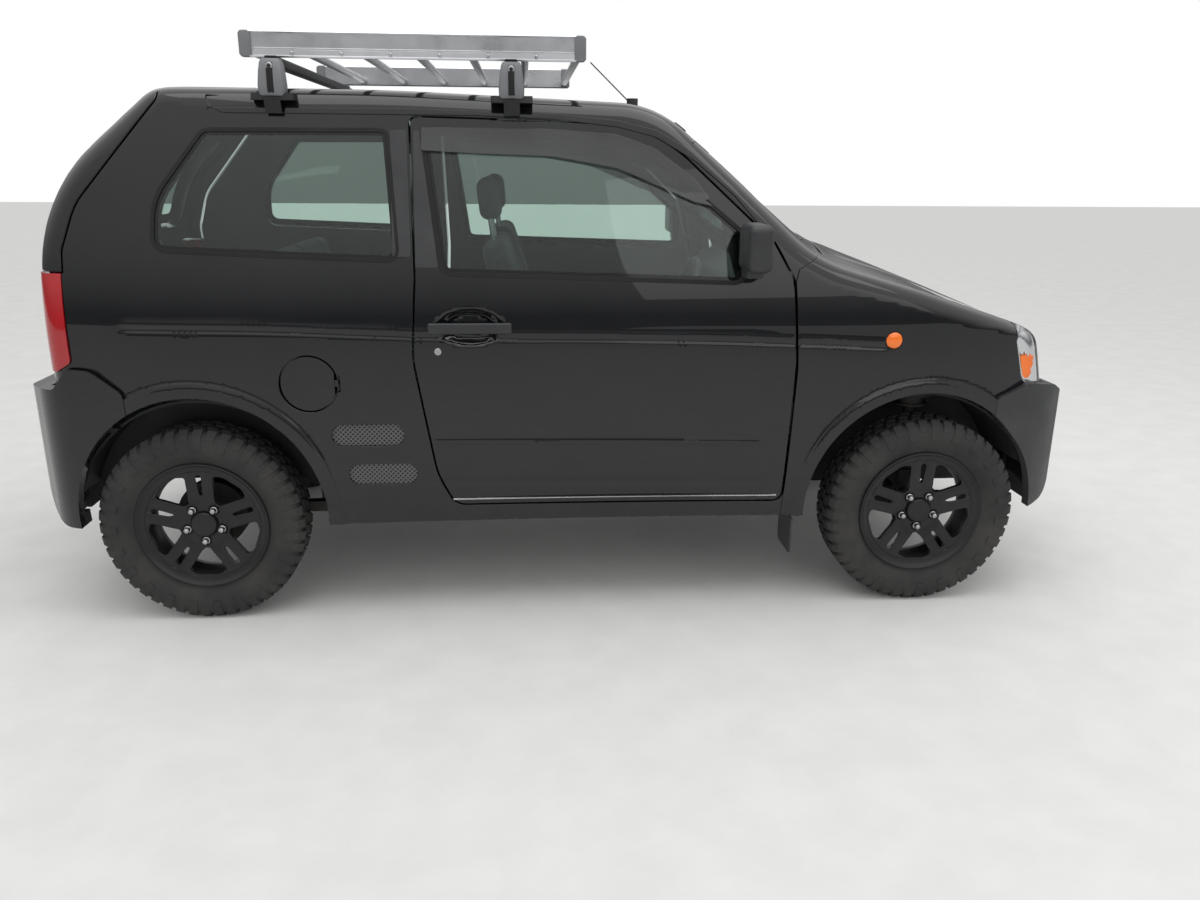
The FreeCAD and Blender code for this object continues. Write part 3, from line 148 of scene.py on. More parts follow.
def top_table():
    """Distance of the top form from its middle by angle, for 17 places across the car."""
    mid = rounded([(r[0], r[1], r[4]) for r in TOP], counts=(14, 60))
    side = rounded([(r[2], r[3], r[4]) for r in TOP], counts=(14, 60))
    grid = -math.pi+2*math.pi*np.arange(ANGLES)/ANGLES
    rows = []
    for w in np.linspace(0, 1, WIDTHS):
        x, z = ((1-w)*mid+w*side).T
        angle, r = np.arctan2(z-MID_Z, x), np.hypot(x, z-MID_Z)
        order = np.argsort(angle)
        angle, r = angle[order], r[order]
        angle = np.concatenate((angle-2*math.pi, angle, angle+2*math.pi))
        rows.append(np.interp(grid, angle, np.tile(r, 3)))
    kernel = np.exp(-0.5*(np.arange(-BLUR_REACH, BLUR_REACH+1)/BLUR)**2)
    kernel /= kernel.sum()
    padded = [np.concatenate((r[-BLUR_REACH:], r, r[:BLUR_REACH])) for r in rows]
    return np.array([np.convolve(r, kernel, "valid") for r in padded])


TABLE = top_table()


def weights(t):
    """Cubic interpolation weights of four neighbours."""
    return (((-t+2)*t-1)*t/2, ((3*t-5)*t*t+2)/2, ((-3*t+4)*t+1)*t/2, (t-1)*t*t/2)


def top_radius(angle, w):
    """Distance of the top form from its middle, between the places of its table."""
    a = (angle+math.pi)*ANGLES/(2*math.pi)
    b = np.clip(w, 0, 1)*(WIDTHS-1)
    i, j = np.floor(a).astype(int), np.clip(np.floor(b).astype(int), 0, WIDTHS-2)
    wa, wb = weights(a-i), weights(b-j)
    r = 0
    for m in range(4):
        jj = np.clip(j+m-1, 0, WIDTHS-1)
        r = r+wb[m]*sum(wa[k]*TABLE[jj, (i+k-1) % ANGLES] for k in range(4))
    return r


def slope_of(curve, x):
    return (curve(x+NUDGE)-curve(x-NUDGE))/(2*NUDGE)


def skin(p):
    """Signed distance from the body's envelope, in millimetres, outside positive."""
    x, y, z = p[:, 0], p[:, 1], p[:, 2]
    lean, slope = LEAN(z), slope_of(LEAN, z)
    drawn, run = DRAWN(x), slope_of(DRAWN, x)
    c1 = 1/np.sqrt(1+slope**2+run**2)
    d1 = (np.abs(y)-(BODY_HALF-drawn-lean))*c1
    angle, r = np.arctan2(z-MID_Z, x), np.hypot(x, z-MID_Z)
    w = np.minimum((y/TOP_HALF)**2, 1)
    top = top_radius(angle, w)
    tilt = (top_radius(angle+TURN, w)-top_radius(angle-TURN, w))/(2*TURN)/top
    c2 = 1/np.sqrt(1+tilt**2)
    d2 = (r-top)*c2
    n2x, n2z = (np.cos(angle)+tilt*np.sin(angle))*c2, (np.sin(angle)-tilt*np.cos(angle))*c2
    c = np.clip(slope*c1*n2z+run*c1*n2x, -0.9, 0.9)
    a, b = d1+EDGE, d2+EDGE
    q = np.sqrt(np.maximum(a*a+b*b-2*a*b*c, 0)/(1-c*c))-EDGE
    return np.where((a > c*b) & (b > c*a), q, np.maximum(d1, d2))


def plain(p):
    return np.zeros(len(p))


def level(height):
    """Lift that is the same everywhere."""
    return lambda p: np.full(len(p), height)


def cast(origin, direction, lift):
    """Points where rays from inside meet the skin raised by lift(p); nan where they start outside."""
    lo, hi = np.zeros(len(origin)), np.full(len(origin), FAR)
    bad = skin(origin)-lift(origin) > 0
    for _ in range(HALVINGS):
        mid = (lo+hi)/2
        p = origin+direction*mid[:, None]
        low = skin(p)-lift(p) < 0
        lo, hi = np.where(low, mid, lo), np.where(low, hi, mid)
    p = origin+direction*((lo+hi)/2)[:, None]
    p[bad] = np.nan
    return p


def normals(p, lift, h=1.5):
    g = []
    for k in range(3):
        d = np.zeros(3)
        d[k] = h
        g.append((skin(p+d)-lift(p+d))-(skin(p-d)-lift(p-d)))
    g = np.array(g).T
    return g/np.maximum(np.linalg.norm(g, axis=1), 1e-9)[:, None]


def on_skin(flat, view, lift=plain, side=-1):
    """Outline given in a straight view (y: x, z; z: x, y; x: y, z), laid on the skin."""
    flat = np.asarray(flat, float)
    a, b = AXES[view]
    origin, way = np.zeros((len(flat), 3)), np.zeros((len(flat), 3))
    origin[:, a], origin[:, b] = flat.T
    way[:, NEAR[view]] = side
    if view == "z":
        origin[:, 2], way[:, 2] = START_Z, 1
    return cast(origin, way, lift)


class Chart:
    """Flat map of a part of the skin, seen from a point inside it."""

    def __init__(self, centre, axis, across):
        self.c = np.array(centre, float)
        self.a = np.array(axis, float)/np.linalg.norm(axis)
        e = np.array(across, float)
        e -= self.a*(e @ self.a)
        self.e = e/np.linalg.norm(e)
        self.f = np.cross(self.a, self.e)
        self.scale = 1000.0
        self.widest = 0.45

    def uv(self, p):
        """Place on the map; nan for what lies too far aside."""
        d = p-self.c
        ahead = d @ self.a
        ahead = np.where(ahead > self.widest*np.linalg.norm(d, axis=1), ahead, np.nan)
        k = self.scale/ahead
        return np.stack(((d @ self.e)*k, (d @ self.f)*k), 1)

    def lift(self, uv, lift):
        d = self.a*self.scale+uv[:, :1]*self.e+uv[:, 1:]*self.f
        d /= np.linalg.norm(d, axis=1)[:, None]
        return cast(np.repeat(self.c[None], len(uv), 0), d, lift)


FLANK = Chart((0, 300, 850), (0, -1, 0), (1, 0, 0))
UPPER = Chart((-300, 0, 500), (0, 0, 1), (1, 0, 0))
HOOD = Chart((850, 0, 250), (0.3, 0, 1), (1, 0, 0))
REAR = Chart((-600, 0, 1000), (-1, 0, 0.2), (0, -1, 0))
# How far grid points stay from cutting lines and from finer rows
LINE_CLEAR, LINE_LEAST, ROW_CLEAR, ROW_LINE = 0.45, 5, 3, 4


def near_segments(points, a, b, limit):
    """Which points come nearer than limit to any of the segments a-b."""
    close = np.zeros(len(points), bool)
    for p, q in zip(a, b):
        d = q-p
        t = np.clip(((points-p) @ d)/max(d @ d, 1e-9), 0, 1)
        close |= np.hypot(*(points-p-t[:, None]*d).T) < limit
    return close


def lattice(fixed, step, shift):
    """Grid over the box of some points; every second row is shifted by a part of the step."""
    low, high = fixed.min(0), fixed.max(0)
    gu, gv = np.meshgrid(np.arange(low[0]+step/2, high[0], step), np.arange(low[1]+step/2, high[1], step))
    gu = gu+(np.arange(gu.shape[0]) % 2)[:, None]*step*shift
    return np.stack((gu.ravel(), gv.ravel()), 1)


def triangles(points, edges, closeness):
    out = delaunay_2d_cdt([Vector(v) for v in points], edges, [], 0, closeness)
    return np.array([v[:] for v in out[0]]), np.array([t for t in out[2] if len(t) == 3])


def only_used(tri, count):
    """Triangles with their points numbered anew, and the points that they use."""
    used = np.unique(tri)
    remap = np.full(count, -1)
    remap[used] = np.arange(len(used))
    return remap[tri], used


def panel(chart, lines, keep, step=14, lift=plain, depth=14, round_r=2.5, taper=0.0, back=False, rows=(),
          paint=None):
    """Skin panel with rolled edges. lines: 3-D outlines that cut it (points, closed); keep(p): what stays.
    rows: open 3-D lines along which the grid is finer. Returns points, faces, normals, material numbers."""
    fixed, edges = [], []
    for pts, is_closed in lines:
        uv = chart.uv(pts)
        index = np.full(len(uv), -1)
        for i in np.flatnonzero(~np.isnan(uv[:, 0])):
            index[i] = len(fixed)
            fixed.append(uv[i])
        for i in range(len(uv) if is_closed else len(uv)-1):
            j = (i+1) % len(uv)
            if index[i] >= 0 and index[j] >= 0:
                edges.append((index[i], index[j]))
    fixed, e = np.array(fixed), np.array(edges)
    ends = fixed[e[:, 0]], fixed[e[:, 1]]
    grid = lattice(fixed, step, 0.5)
    grid = grid[~near_segments(grid, *ends, max(step*LINE_CLEAR, LINE_LEAST))]
    extra = [chart.uv(r) for r in rows]
    for r in extra:
        r = r[~np.isnan(r[:, 0])]
        if len(r) > 1:
            grid = grid[~near_segments(grid, r[:-1], r[1:], ROW_CLEAR)]
    if extra:
        more = np.vstack(extra)
        more = more[~np.isnan(more[:, 0])]
        grid = np.vstack((grid, more[~near_segments(more, *ends, ROW_LINE)]))
    uv, tri = triangles(np.vstack((fixed, grid)), edges, 0.01)
    points = chart.lift(uv, lift)
    mid = points[tri].mean(1)
    ok = ~np.isnan(mid[:, 0])
    ok[ok] &= keep(mid[ok])
    tri, used = only_used(tri[ok], len(points))
    points = points[used]
    which = np.zeros(len(tri), int) if paint is None else paint(points[tri].mean(1))
    return shell(points, normals(points, lift), tri, which, depth, round_r, taper, back)


# Limits of how far a corner's edge moves, and how deep the middle of a rolled edge lies
CORNER_LEAST, CORNER_MOST, ROLL = 0.2, 1.6, 0.29


def shell(points, n, tri, which, depth, round_r, taper, back):
    """Surface with its own normals given rolled edges, side walls and, if asked, an inner copy."""
    face = np.cross(points[tri[:, 1]]-points[tri[:, 0]], points[tri[:, 2]]-points[tri[:, 0]])
    flip = np.einsum("ij,ij->i", face, n[tri].mean(1)) < 0
    tri[flip] = tri[flip][:, ::-1]
    count = {}
    for t in tri:
        for k in range(3):
            a, b = int(t[k]), int(t[(k+1) % 3])
            key = (min(a, b), max(a, b))
            count[key] = None if key in count else (a, b)
    border = [v for v in count.values() if v]
    side = np.zeros_like(points)
    for a, b in border:
        t = points[b]-points[a]
        for v in (a, b):
            s = np.cross(t, n[v])
            side[v] += s/max(np.linalg.norm(s), 1e-9)
    rim = np.flatnonzero(np.linalg.norm(side, axis=1) > 0)
    length = np.linalg.norm(side[rim], axis=1)
    b = side[rim]/length[:, None]
    reach = np.minimum(2/np.maximum(length, CORNER_LEAST), CORNER_MOST)[:, None]
    p0, n0 = points[rim].copy(), n[rim]
    base = len(points)
    points = points.copy()
    points[rim] = p0-b*reach*round_r
    rings = [
        (p0-b*reach*round_r*ROLL-n0*round_r*ROLL, (n0+b)/math.sqrt(2)),
        (p0-n0*round_r, b),
        (p0-n0*depth-b*taper, b),
    ]
    k = np.full(len(points), -1)
    k[rim] = np.arange(len(rim))
    all_p, all_n = [points], [n]
    quads = []
    r = len(rim)
    for level, (rp, rn) in enumerate(rings):
        all_p.append(rp)
        all_n.append(rn)
        for a, c in border:
            lower = [base+level*r+k[a], base+level*r+k[c]]
            upper = [a, c] if level == 0 else [base+(level-1)*r+k[a], base+(level-1)*r+k[c]]
            quads.append((upper[1], upper[0], lower[0], lower[1]))
    faces = [tuple(t) for t in tri.tolist()]+[tuple(int(i) for i in q) for q in quads]
    which = which.tolist()+[0]*len(quads)
    if back:
        inner = points-n*depth
        inner[rim] = p0-n0*depth-b*taper
        first = sum(len(p) for p in all_p)
        all_p.append(inner)
        all_n.append(-n)
        faces += [tuple(int(first+i) for i in t[::-1]) for t in tri]
        which += [1]*len(tri)
    return np.vstack(all_p), faces, np.vstack(all_n), which


def plate(loops, keep, surface, step, depth, round_r):
    """Flat outline cut by loops, raised by surface(uv), with rolled edges and a back."""
    fixed, edges = [], []
    for loop in loops:
        base = len(fixed)
        fixed += [tuple(q) for q in loop]
        edges += [(base+i, base+(i+1) % len(loop)) for i in range(len(loop))]
    fixed, e = np.array(fixed), np.array(edges)
    grid = lattice(fixed, step, 0)
    grid = grid[~near_segments(grid, fixed[e[:, 0]], fixed[e[:, 1]], step*0.5)]
    uv, tri = triangles(np.vstack((fixed, grid)), edges, 0.001)
    tri, used = only_used(tri[keep(uv[tri].mean(1))], len(uv))
    points, n = surface(uv[used])
    return shell(points, n, tri, np.zeros(len(tri), int), depth, round_r, 0.0, True)


def make(name, data, mats, mirror=False):
    """Blender object from points in millimetres, with its own smooth normals."""
    p, faces, n, which = data
    p = p*MM
    if mirror:
        p, n = p*(1, -1, 1), n*(1, -1, 1)
        faces = [f[::-1] for f in faces]
    mesh = bpy.data.meshes.new(name)
    mesh.from_pydata(p.tolist(), [], faces)
    for m in mats:
        mesh.materials.append(m)
    mesh.polygons.foreach_set("material_index", np.minimum(which, len(mats)-1).astype(np.int32))
    mesh.polygons.foreach_set("use_smooth", np.ones(len(faces), bool))
    mesh.update()
    mesh.normals_split_custom_set_from_vertices(n.tolist())
    obj = bpy.data.objects.new(name, mesh)
    bpy.context.scene.collection.objects.link(obj)
    return obj


def place(obj, body, slot, *nodes):
    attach(obj, body)
    if nodes:
        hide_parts(*nodes)


# Materials
def ramp(tree, source, stops):
    node = tree.nodes.new("ShaderNodeValToRGB")
    while len(node.color_ramp.elements) < len(stops):
        node.color_ramp.elements.new(0.5)
    for e, (at, value) in zip(node.color_ramp.elements, stops):
        e.position = at
        e.color = (*value, 1) if isinstance(value, tuple) else (value, value, value, 1)
    tree.links.new(source, node.inputs["Fac"])
    return node.outputs["Color"]


def noise(tree, coords, scale, detail=3, rough=0.55):
    node = tree.nodes.new("ShaderNodeTexNoise")
    node.inputs["Scale"].default_value = scale
    node.inputs["Detail"].default_value = detail
    node.inputs["Roughness"].default_value = rough
    tree.links.new(coords, node.inputs["Vector"])
    return node.outputs["Fac"]


def maths(tree, operation, a, b):
    node = tree.nodes.new("ShaderNodeMath")
    node.operation = operation
    tree.links.new(a, node.inputs[0])
    tree.links.new(b, node.inputs[1])
    return node.outputs[0]


def map_range(tree, source, low, high, to_low, to_high):
    node = tree.nodes.new("ShaderNodeMapRange")
    for label, value in (("From Min", low), ("From Max", high), ("To Min", to_low), ("To Max", to_high)):
        node.inputs[label].default_value = value
    tree.links.new(source, node.inputs["Value"])
    return node.outputs[0]


def crossed_waves(tree, coords, operation, scale, distortion=0.0):
    """Two sets of bands, along x and along z, joined by a sum of the given kind."""
    bands = []
    for axis in ("X", "Z"):
        node = tree.nodes.new("ShaderNodeTexWave")
        node.bands_direction = axis
        node.inputs["Scale"].default_value = scale
        node.inputs["Distortion"].default_value = distortion
        tree.links.new(coords, node.inputs["Vector"])
        bands.append(node.outputs["Fac"])
    return maths(tree, operation, *bands)


DUST = (0.16, 0.15, 0.135, 1)
DUST_TOP, DUST_FULL = 0.75, 0.28
WEAVE_SCALE, WEAVE_WOBBLE = 700, 0.6
NET_SCALE = 95/3.1416


def dusty(t, coords, colour, amount):
    """Colour with dust that grows towards the ground, in uneven spots."""
    height = t.nodes.new("ShaderNodeSeparateXYZ")
    t.links.new(coords, height.inputs[0])
    low = map_range(t, height.outputs["Z"], DUST_TOP, DUST_FULL, 0.0, amount)
    spots = ramp(t, noise(t, coords, 28, 6, 0.7), [(0.3, 0.2), (0.75, 1.0)])
    mix = t.nodes.new("ShaderNodeMix")
    mix.data_type = "RGBA"
    t.links.new(maths(t, "MULTIPLY", low, spots), mix.inputs["Factor"])
    t.links.new(colour, mix.inputs[6])
    mix.inputs[7].default_value = DUST
    return mix.outputs[2]


def material(name, dark, light=None, rough=(0.4, 0.5), metal=0.0, coat=0.0, blotch=6.0, grain=0.0,
             grain_scale=900, specular=0.5, transmission=0.0, sheen=0.0, weave=0.0, alpha=1.0, low_dust=0.0):
    """Surface with colour that varies between two tones, uneven roughness and fine grain or weave."""
    m = bpy.data.materials.new(name)
    m.use_nodes = True
    t = m.node_tree
    b = t.nodes["Principled BSDF"]
    coords = t.nodes.new("ShaderNodeTexCoord").outputs["Object"]
    light = light or tuple(min(1, c*1.25) for c in dark)
    colour = ramp(t, noise(t, coords, blotch, 5), [(0.36, dark), (0.66, light)])
    if low_dust:
        colour = dusty(t, coords, colour, low_dust)
    t.links.new(colour, b.inputs["Base Color"])
    uneven = ramp(t, noise(t, coords, blotch*2.3, 4), [(0.3, rough[0]), (0.7, rough[1])])
    t.links.new(uneven, b.inputs["Roughness"])
    for label, value in (("Metallic", metal), ("Coat Weight", coat), ("Coat Roughness", 0.02),
                         ("Specular IOR Level", specular), ("Transmission Weight", transmission),
                         ("IOR", 1.45), ("Alpha", alpha), ("Sheen Weight", sheen)):
        b.inputs[label].default_value = value
    if weave or grain:
        height = (crossed_waves(t, coords, "MULTIPLY", WEAVE_SCALE, WEAVE_WOBBLE) if weave
                  else noise(t, coords, grain_scale, 4, 0.6))
        bump = t.nodes.new("ShaderNodeBump")
        bump.inputs["Strength"].default_value = weave or grain
        bump.inputs["Distance"].default_value = MM
        t.links.new(height, bump.inputs["Height"])
        t.links.new(bump.outputs[0], b.inputs["Normal"])
    return m


PAINT = material("paint_black", (0.0045, 0.005, 0.006), (0.006, 0.0065, 0.0078), (0.25, 0.3), coat=1.0,
                 specular=0.08, low_dust=0.03)
INNER = material("inner_black", (0.012, 0.012, 0.013), rough=(0.5, 0.62), grain=0.2)
DARK = material("dark_plastic", (0.028, 0.029, 0.031), (0.040, 0.041, 0.043), (0.42, 0.52), grain=0.35,
                grain_scale=700, low_dust=0.12)
RUBBER = material("seal_rubber", (0.010, 0.010, 0.010), rough=(0.55, 0.7), grain=0.2, specular=0.35)
GLASS = material("window_green", (0.72, 0.86, 0.80), (0.74, 0.88, 0.82), (0.0, 0.01), transmission=1.0)
SMOKE = material("visor_smoke", (0.035, 0.036, 0.038), rough=(0.05, 0.08), alpha=0.78, coat=0.6)
FRIT = material("glass_border", (0.004, 0.004, 0.0045), rough=(0.03, 0.05), specular=0.5)
TYRE = material("tyre_rubber", (0.026, 0.026, 0.0265), (0.044, 0.043, 0.042), (0.7, 0.86), grain=0.5,
                grain_scale=450, specular=0.3, low_dust=0.10)
RIM = material("wheel_black", (0.010, 0.010, 0.011), (0.015, 0.015, 0.016), (0.34, 0.42), grain=0.12,
               specular=0.45)
STEEL = material("steel_dark", (0.05, 0.05, 0.052), (0.075, 0.07, 0.064), (0.5, 0.7), metal=0.7, grain=0.4)
NUT = material("nut_silver", (0.42, 0.42, 0.43), (0.55, 0.55, 0.56), (0.22, 0.34), metal=1.0)
ALLOY = material("rack_alloy", (0.60, 0.61, 0.63), (0.70, 0.71, 0.73), (0.26, 0.36), metal=1.0, grain=0.08)
GREY = material("rack_grey", (0.15, 0.155, 0.165), (0.19, 0.195, 0.205), (0.4, 0.5), grain=0.25)
CLOTH = material("seat_cloth", (0.045, 0.047, 0.05), (0.075, 0.077, 0.082), (0.85, 0.95), blotch=60,
                 sheen=0.25, weave=0.6)
TRIM = material("cabin_trim", (0.050, 0.051, 0.053), (0.062, 0.063, 0.066), (0.55, 0.66), grain=0.4)
AMBER = material("lamp_amber", (0.85, 0.14, 0.008), (0.95, 0.20, 0.012), (0.08, 0.12), coat=0.7)
RED = material("lamp_red", (0.36, 0.006, 0.010), (0.46, 0.010, 0.014), (0.07, 0.1), coat=0.8)
CLEAR = material("lamp_clear", (0.92, 0.94, 0.95), (0.95, 0.96, 0.97), (0.0, 0.02), transmission=1.0)
MIRROR = material("reflector", (0.75, 0.75, 0.76), (0.85, 0.85, 0.86), (0.08, 0.14), metal=1.0)
NET = material("vent_net", (0.020, 0.020, 0.022), (0.03, 0.03, 0.032), (0.4, 0.5), grain=0.3)


def add_net(m):
    """Diagonal net of pale bars over holes painted near-black as painted shade."""
    t = m.node_tree
    turn = t.nodes.new("ShaderNodeMapping")
    turn.inputs["Rotation"].default_value = (0, math.radians(45), 0)
    t.links.new(t.nodes.new("ShaderNodeTexCoord").outputs["Object"], turn.inputs["Vector"])
    bars = crossed_waves(t, turn.outputs[0], "MAXIMUM", NET_SCALE)
    # the holes between the bars are painted near-black: painted shade where the solid has no real openings
    bars_over_painted_shade = ramp(t, bars, [(0.62, (0.006, 0.006, 0.006)), (0.80, (0.11, 0.11, 0.115))])
    t.links.new(bars_over_painted_shade, t.nodes["Principled BSDF"].inputs["Base Color"])


add_net(NET)

# Outlines of the panels: x, z and radius of each corner

GAP, REBATE, FUEL_GAP = 5.0, 3.0, 5.0
FRONT_X, REAR_X, SILL = 707, -476, 381
DOOR = [(REAR_X, 1568, 20), (REAR_X+6, 1105, 200), (REAR_X-8, 860, 300), (REAR_X+52, 490, 250),
        (REAR_X+104, SILL, 50), (FRONT_X-16, SILL-4, 30), (FRONT_X+2, 830, 600), (FRONT_X-17, 1100, 40),
        (629, 1208, 46), (250, 1553, 400)]
DOOR_GLASS = [(-437, 1530, 25), (200, 1506, 300), (527, 1238, 14), (533, 1093, 25), (-387, 1121, 30),
              (-402, 1250, 300)]
QUARTER = [(-545, 1530, 22), (-1078, 1526, 30), (-1229, 1330, 180), (-1238, 1185, 40), (-520, 1155, 30)]
TAIL_LINE = [(-1213, 1750), (-1213, 1612, 20), (-1468, 1313, 200), (-1514, 1180, 80), (-1514, 1120),
             (-1800, 1120), (-1800, 1750)]
TAIL_LAMP = [(-1800, 1115), (-1516, 1115), (-1514, 850, 20), (-1562, 822, 10), (-1800, 815)]
HEAD_LAMP = [(1448, 960), (1452, 896, 30), (1488, 771, 30), (1512, 745, 10), (1800, 736), (1800, 878),
             (1565, 884, 20), (1500, 960)]
FRONT_GAP = 7.2
FENDER_X = FRONT_X-16+FRONT_GAP
FENDER = [(FENDER_X, 200), (FENDER_X, SILL-4), (FRONT_X+2+FRONT_GAP, 830, 600), (FENDER_X, 1092, 10),
          (708, 1130, 6), (784, 1170), (900, 1300), (1800, 1300), (1800, 200)]
FRONT_BUMPER = [(1380, 200), (1400, 716, 20), (1449, 732, 60), (1512, 760, 20), (1800, 736), (1800, 200)]
REAR_BUMPER = [(-1340, 200), (-1364, 760, 40), (-1455, 830, 60), (-1521, 835, 20), (-1575, 770, 20),
               (-1800, 765), (-1800, 200)]
BONNET = [(812, -588, 25), (1800, -560, 0), (1800, 560, 0), (812, 588, 25), (904, 0, 1400)]
WINDSCREEN = [(-622, 1206, 60), (622, 1206, 60), (530, 1600, 50), (-530, 1600, 50)]
REAR_WINDOW = [(-548, 1188, 60), (548, 1188, 60), (478, 1545, 60), (-478, 1545, 60)]
VENTS = [[(-750, 622, 30), (-735, 657, 30), (-540, 657, 30), (-519, 622, 30), (-540, 587, 30),
          (-735, 587, 30)],
         [(-704, 492, 30), (-690, 526, 30), (-505, 526, 30), (-484, 492, 30), (-505, 458, 30),
          (-690, 458, 30)]]
FUEL_X, FUEL_Z, FUEL_R = -804, 788, 84
FRONT_ARCH, REAR_ARCH, ARCH_R, ARCH_POINTS = (1156, 352), (-1164, 360), 386, 150
SKIRT, ROOF_HALF, BONNET_LOW = 318, 512, 886
ROOF_REAR, ROOF_FRONT = -1400, 900


def circle(x, z, r, n=96):
    a = np.linspace(0, 2*math.pi, n, endpoint=False)
    return np.stack((x+r*np.cos(a), z+r*np.sin(a)), 1)


def straight(p, q, step=14):
    p, q = np.array(p, float), np.array(q, float)
    n = max(2, int(np.hypot(*(q-p))/step)+1)
    return p+(q-p)*np.linspace(0, 1, n)[:, None]


FLAT = {name: rounded(points) for name, points in dict(
    door=DOOR, door_glass=DOOR_GLASS, quarter=QUARTER, tail=TAIL_LINE, tail_lamp=TAIL_LAMP,
    head_lamp=HEAD_LAMP, fender=FENDER, front_bumper=FRONT_BUMPER, rear_bumper=REAR_BUMPER, bonnet=BONNET,
    windscreen=WINDSCREEN, rear_window=REAR_WINDOW, vent_0=VENTS[0], vent_1=VENTS[1]).items()}
FLAT["fuel"] = circle(FUEL_X, FUEL_Z, FUEL_R)
FLAT["front_arch"] = circle(*FRONT_ARCH, ARCH_R, ARCH_POINTS)
FLAT["rear_arch"] = circle(*REAR_ARCH, ARCH_R, ARCH_POINTS)


def xz(name, grow=0.0):
    return grown(FLAT[name], grow) if grow else FLAT[name]


def within(p, name, grow=0.0, view="y"):
    """Which points lie inside a named outline, in its straight view."""
    a, b = AXES[view]
    return inside(xz(name, grow), p[:, a], p[:, b])


# The flank's pressings: where they are and how far they stand out
CREASE = cubic([(-1500, 957), (-1351, 955), (-937, 951), (-488, 931), (132, 918), (690, 904), (1003, 889),
                (1200, 880)])
PRESS_1 = cubic([(-470, 597), (602, 579), (720, 577)])
PRESS_2 = cubic([(-450, 462), (608, 444), (720, 442)])
HANDLE = (-311, 957, 112, 62)


def ridge(d, height, width):
    """Soft line of a given height and width, d away from its middle."""
    return height*np.exp(-(d/width)**2)


FLARE, BOWL_DEEP, FLANK_FROM_Y = 8.0, 24, 500


def flank_lift(p):
    """Pressings, wheel-arch flares and handle bowl of the flank, millimetres outwards."""
    x, y, z = p[:, 0], p[:, 1], p[:, 2]
    ends = smooth(-1360, -1320, x)*smooth(1010, 985, x)
    d = z-CREASE(x)
    out = (ridge(d, -4.0, 7)+ridge(d-14, 1.6, 9))*ends
    run = smooth(-452, -425, x)*smooth(625, 600, x)
    out += (ridge(z-PRESS_1(x), 2.6, 6)+ridge(z-PRESS_2(x), -2.4, 7))*run
    for (ax, az), reach in ((FRONT_ARCH, 40), (REAR_ARCH, 44)):
        r = np.hypot(x-ax, z-az)
        out += FLARE*smooth(ARCH_R+reach+14, ARCH_R+reach-12, r)
    hx, hz, ha, hb = HANDLE
    d = np.hypot((x-hx)/ha, (z-hz)/hb)
    return out-BOWL_DEEP*smooth(1.0, 0.55, d)*(np.abs(y) > FLANK_FROM_Y)


def crease_rows(curve, x0, x1, offsets):
    xs = np.arange(x0, x1, 16)
    return [on_skin(np.stack((xs, curve(xs)+o), 1), "y", flank_lift) for o in offsets]


def arch_rows(*arches):
    return [on_skin(circle(ax, az, ARCH_R+k, ARCH_POINTS), "y", flank_lift) for ax, az in arches
            for k in (10, 28, 38, 48, 58)]


# Pieces


def closed(*names, view="y", lift=flank_lift, side=-1, grow=0.0):
    """Named outlines as closed cutting lines of a panel."""
    return [(on_skin(xz(n, grow), view, lift, side), True) for n in names]


def cut(p, q, view, lift=plain, side=-1):
    """Straight cutting line of a panel."""
    return [(on_skin(straight(p, q), view, lift, side), False)]


def both(name, data, mats, body, slot, nodes_right=(), nodes_left=(), body_left=None):
    """The right-hand piece and its mirror image."""
    place(make(name+"_right", data, mats), body, slot, *nodes_right)
    place(make(name+"_left", data, mats, mirror=True), body_left or body, slot, *nodes_left)


def right(p):
    return p[:, 1] < 0


# Doors: shell with the pressed flank outside, and the trim inside
NEAR_CREASE, NEAR_PRESS = (-14, -7, 0, 7, 14, 24), (-8, 0, 8)


def bowl_row(k):
    """Outline of the handle's bowl at part k of its size."""
    x, z, a, b = HANDLE
    corners = [(x+i*a*k, z+j*b*k, 50*k) for i, j in ((-1, -1), (1, -1), (1, 1), (-1, 1))]
    return on_skin(rounded(corners, 9), "y", flank_lift)


def door_keep(p):
    return right(p) & within(p, "door") & ~within(p, "door_glass", REBATE)


door_rows = crease_rows(CREASE, REAR_X-10, FRONT_X+5, NEAR_CREASE)+crease_rows(PRESS_1, -470, 720, NEAR_PRESS)
door_rows += crease_rows(PRESS_2, -450, 720, NEAR_PRESS)+[bowl_row(k) for k in (0.5, 0.62, 0.75, 0.88, 1.0)]
door = panel(FLANK, closed("door")+closed("door_glass", grow=REBATE), door_keep, step=15, lift=flank_lift,
             depth=52, taper=7, back=True, rows=door_rows)
both("door_skin", door, [PAINT, TRIM], "door_right", "paint", ["door_right"], ["door_left"], "door_left")

# Side panels with sill, rear quarter and pillars
FLAT["notch"] = rounded([(-724, 762, 3), (-710, 762, 3), (-710, 814, 3), (-724, 814, 3)], 8)
# Outlines given from the front count only ahead of this place
AHEAD_OF = 200
SHIELD_LINE = closed("windscreen", view="x", lift=plain, side=1)
side_lines = closed("door", grow=GAP)+closed("quarter", "tail_lamp", "rear_bumper", "fender", "vent_0")
lower_vent = closed("vent_1")
more_lines = closed("fuel", grow=FUEL_GAP)+closed("tail", grow=GAP)+closed("notch", "front_arch", "rear_arch")
more_lines += cut((ROOF_REAR, SKIRT), (ROOF_FRONT, SKIRT), "y", flank_lift)
more_lines += cut((ROOF_REAR, -ROOF_HALF), (ROOF_FRONT, -ROOF_HALF), "z")+SHIELD_LINE
side_rows = crease_rows(CREASE, -1390, REAR_X, NEAR_CREASE)+arch_rows(FRONT_ARCH, REAR_ARCH)


